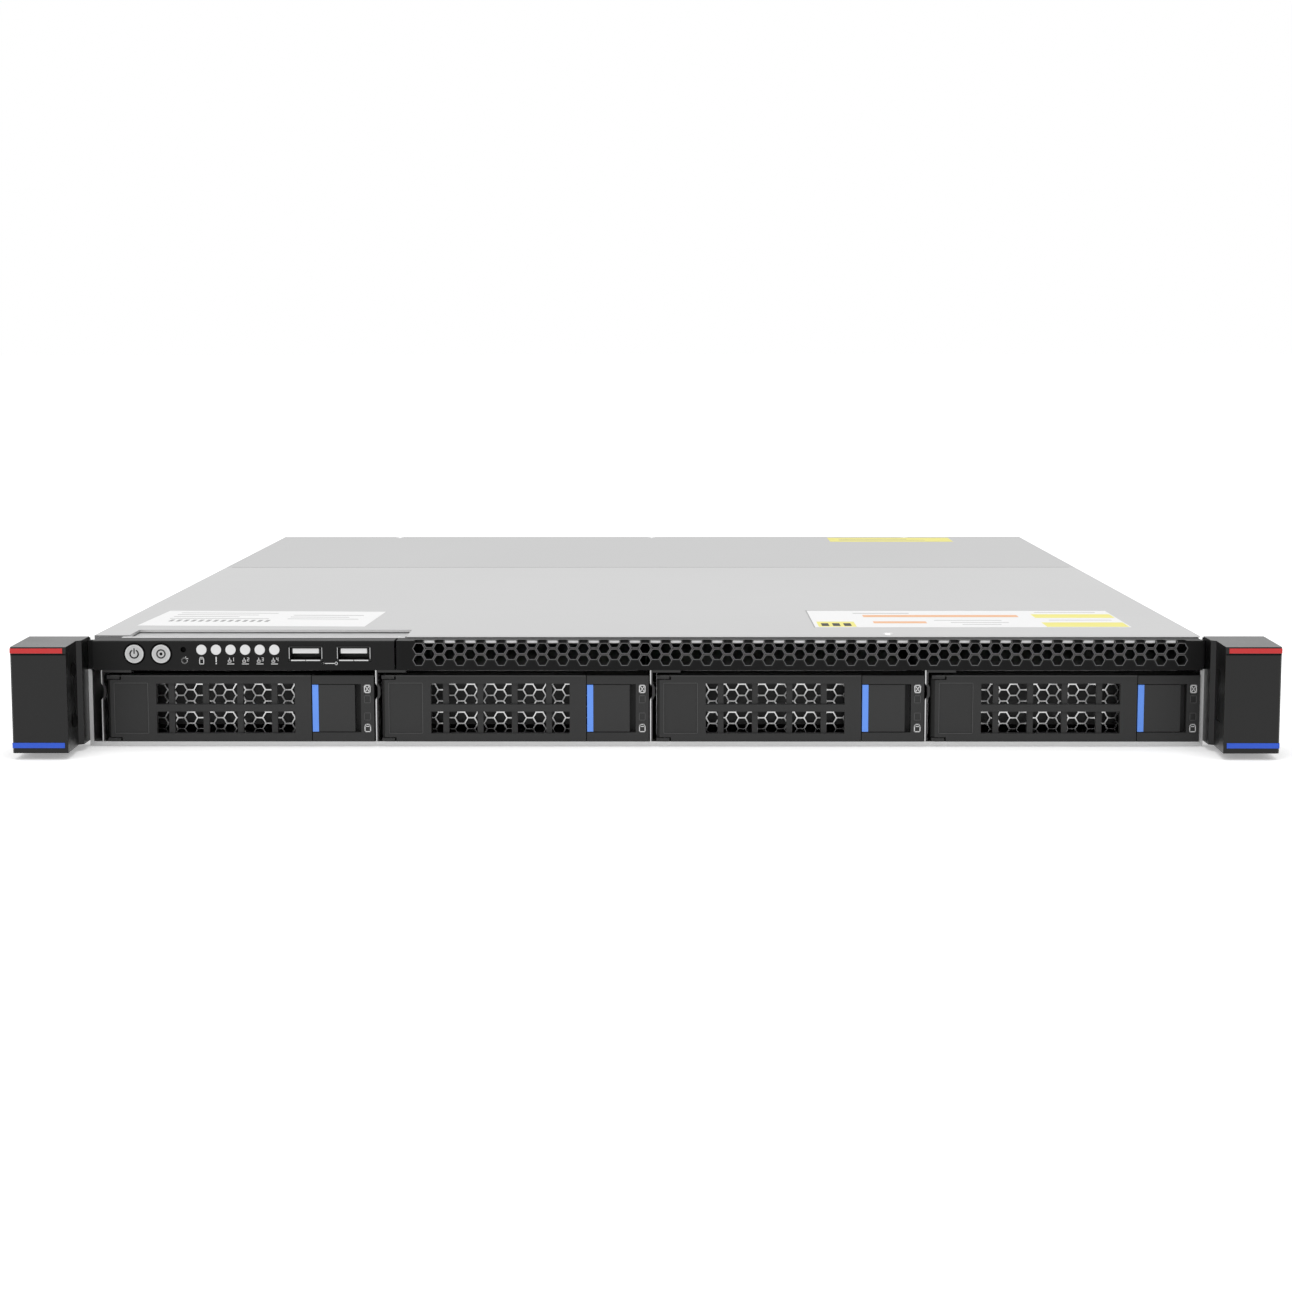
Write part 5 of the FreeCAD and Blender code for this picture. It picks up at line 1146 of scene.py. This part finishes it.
FACING_UP = (0, 0, 0)
FACING_BACK = (-math.pi / 2, 0, 0)
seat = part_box("front_cover")[1].z / MM - 0.02
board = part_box("mainboard")[1].z / MM + 0.2
back = rear / MM + 0.15
screws("lid_screws", [(96.4, 10.6, seat)], "front_cover", FACING_UP)
screws("back_lid_screws", [(x, 500.0, seat) for x in (-150, 0, 150)], "rear_cover", FACING_UP)
screws("rear_screws", [(x, back, 37.5) for x in (-90, 54, -30)], "chassis", FACING_BACK, height=0.6)
screws("board_screws", [(x, y, board) for x in (-206, -79, 48) for y in (244, 482)], "chassis",
       FACING_UP, 2.6, 0.6)
print("screws ready")

# %% [markdown]
# ## Floor
#
# The server stands on a white studio floor that keeps its soft shadow. The floor takes light as
# any surface does, and glows a little to camera and mirror rays only, so that it reaches white
# without a stronger lamp, which would wash out the sheet metal.


# %% Floor
def floor_finish():
    material, tree, shader = new_finish("studio_floor")
    shader.inputs["Specular IOR Level"].default_value = 0.0
    cloud = add(tree, "ShaderNodeTexNoise", None, {"Vector": object_place(tree), "Scale": 3.0})
    tint = blend_colours(tree, cloud.outputs[0], (0.97, 0.97, 0.97, 1), (1.0, 1.0, 1.0, 1))
    tree.links.new(tint, shader.inputs["Base Color"])
    rays = add(tree, "ShaderNodeLightPath")
    seen = math_node(tree, "MAXIMUM", rays.outputs["Is Camera Ray"], rays.outputs["Is Glossy Ray"])
    lift = add(tree, "ShaderNodeEmission", None,
               {"Color": (1, 1, 1, 1), "Strength": math_node(tree, "MULTIPLY", seen, 0.3)})
    both = add(tree, "ShaderNodeAddShader", None, {0: shader.outputs[0], 1: lift.outputs[0]})
    tree.links.new(both.outputs[0], tree.nodes["Material Output"].inputs["Surface"])
    return material


bm = bmesh.new()
slab(bm, (-30, -30, -0.002), (30, 30, -0.0002))
mesh = bpy.data.meshes.new("floor")
bm.to_mesh(mesh)
bm.free()
mesh.materials.append(floor_finish())
floor = bpy.data.objects.new("floor", mesh)
bpy.context.scene.collection.objects.link(floor)
print("floor ready")

# %% [markdown]
# ## World
#
# A world of one even white shows each colour about as it is written. Camera rays, reflections and
# rays through glass meet full white, and all else is lit a little lower. Light Path chooses between
# two backgrounds, which costs no extra light on the object.

# %% World
scene = bpy.context.scene
world = bpy.data.worlds.new("studio")
scene.world = world
world.use_nodes = True
tree = world.node_tree
tree.nodes.clear()
rays = add(tree, "ShaderNodeLightPath")
seen = math_node(tree, "MAXIMUM", rays.outputs["Is Camera Ray"], rays.outputs["Is Glossy Ray"])
seen = math_node(tree, "MAXIMUM", seen, rays.outputs["Is Transmission Ray"])
lit = add(tree, "ShaderNodeBackground", None, {"Color": (1, 1, 1, 1), "Strength": 0.75})
plain = add(tree, "ShaderNodeBackground", None, {"Color": (1, 1, 1, 1), "Strength": 1.0})
mixed = add(tree, "ShaderNodeMixShader", None, {0: seen, 1: lit.outputs[0], 2: plain.outputs[0]})
add(tree, "ShaderNodeOutputWorld", None, {"Surface": mixed.outputs[0]})
print("world ready")


# %% [markdown]
# ## Lamps
#
# Even light alone looks flat, so one wide square lamp above gives the lids direction and the floor
# a soft shadow, and a weaker one from the front left lifts the black front.

# %% Lamps
def softbox(name, place, target, size, power):
    """Square area lamp that looks at a point."""
    lamp = bpy.data.lights.new(name, "AREA")
    lamp.shape = "SQUARE"
    lamp.size = size
    lamp.energy = power
    made = bpy.data.objects.new(name, lamp)
    made.location = place
    made.rotation_euler = (Vector(target) - Vector(place)).to_track_quat("-Z", "Y").to_euler()
    scene.collection.objects.link(made)


softbox("over_lamp", (0.0, -0.2, 1.6), (0, 0.15, 0), 1.4, 9.0)
softbox("front_lamp", (-0.7, -1.6, 0.9), (0, 0, 0), 0.8, 3.0)
print("lamps ready")

# %% [markdown]
# ## Camera
#
# A long lens from a metre away, a hand's breadth above the lid and tilted slightly down, sees the
# front nearly flat and the lids strongly foreshortened, as is usual for rack hardware.

# %% Camera
camera_data = bpy.data.cameras.new("camera")
camera_data.sensor_width = 36.0
camera_data.lens = 68.74
camera = bpy.data.objects.new("camera", camera_data)
camera.location = (7.43 * MM, -965.0 * MM, 157.8 * MM)
camera.rotation_euler = (math.pi / 2 - 0.12239, 0.00092, 0.00738)
scene.collection.objects.link(camera)
scene.camera = camera
scene.view_settings.view_transform = "Standard"
print("camera", camera_data.lens, "mm")

# %% [markdown]
# ## The end

# %% Finish
print("scene built")
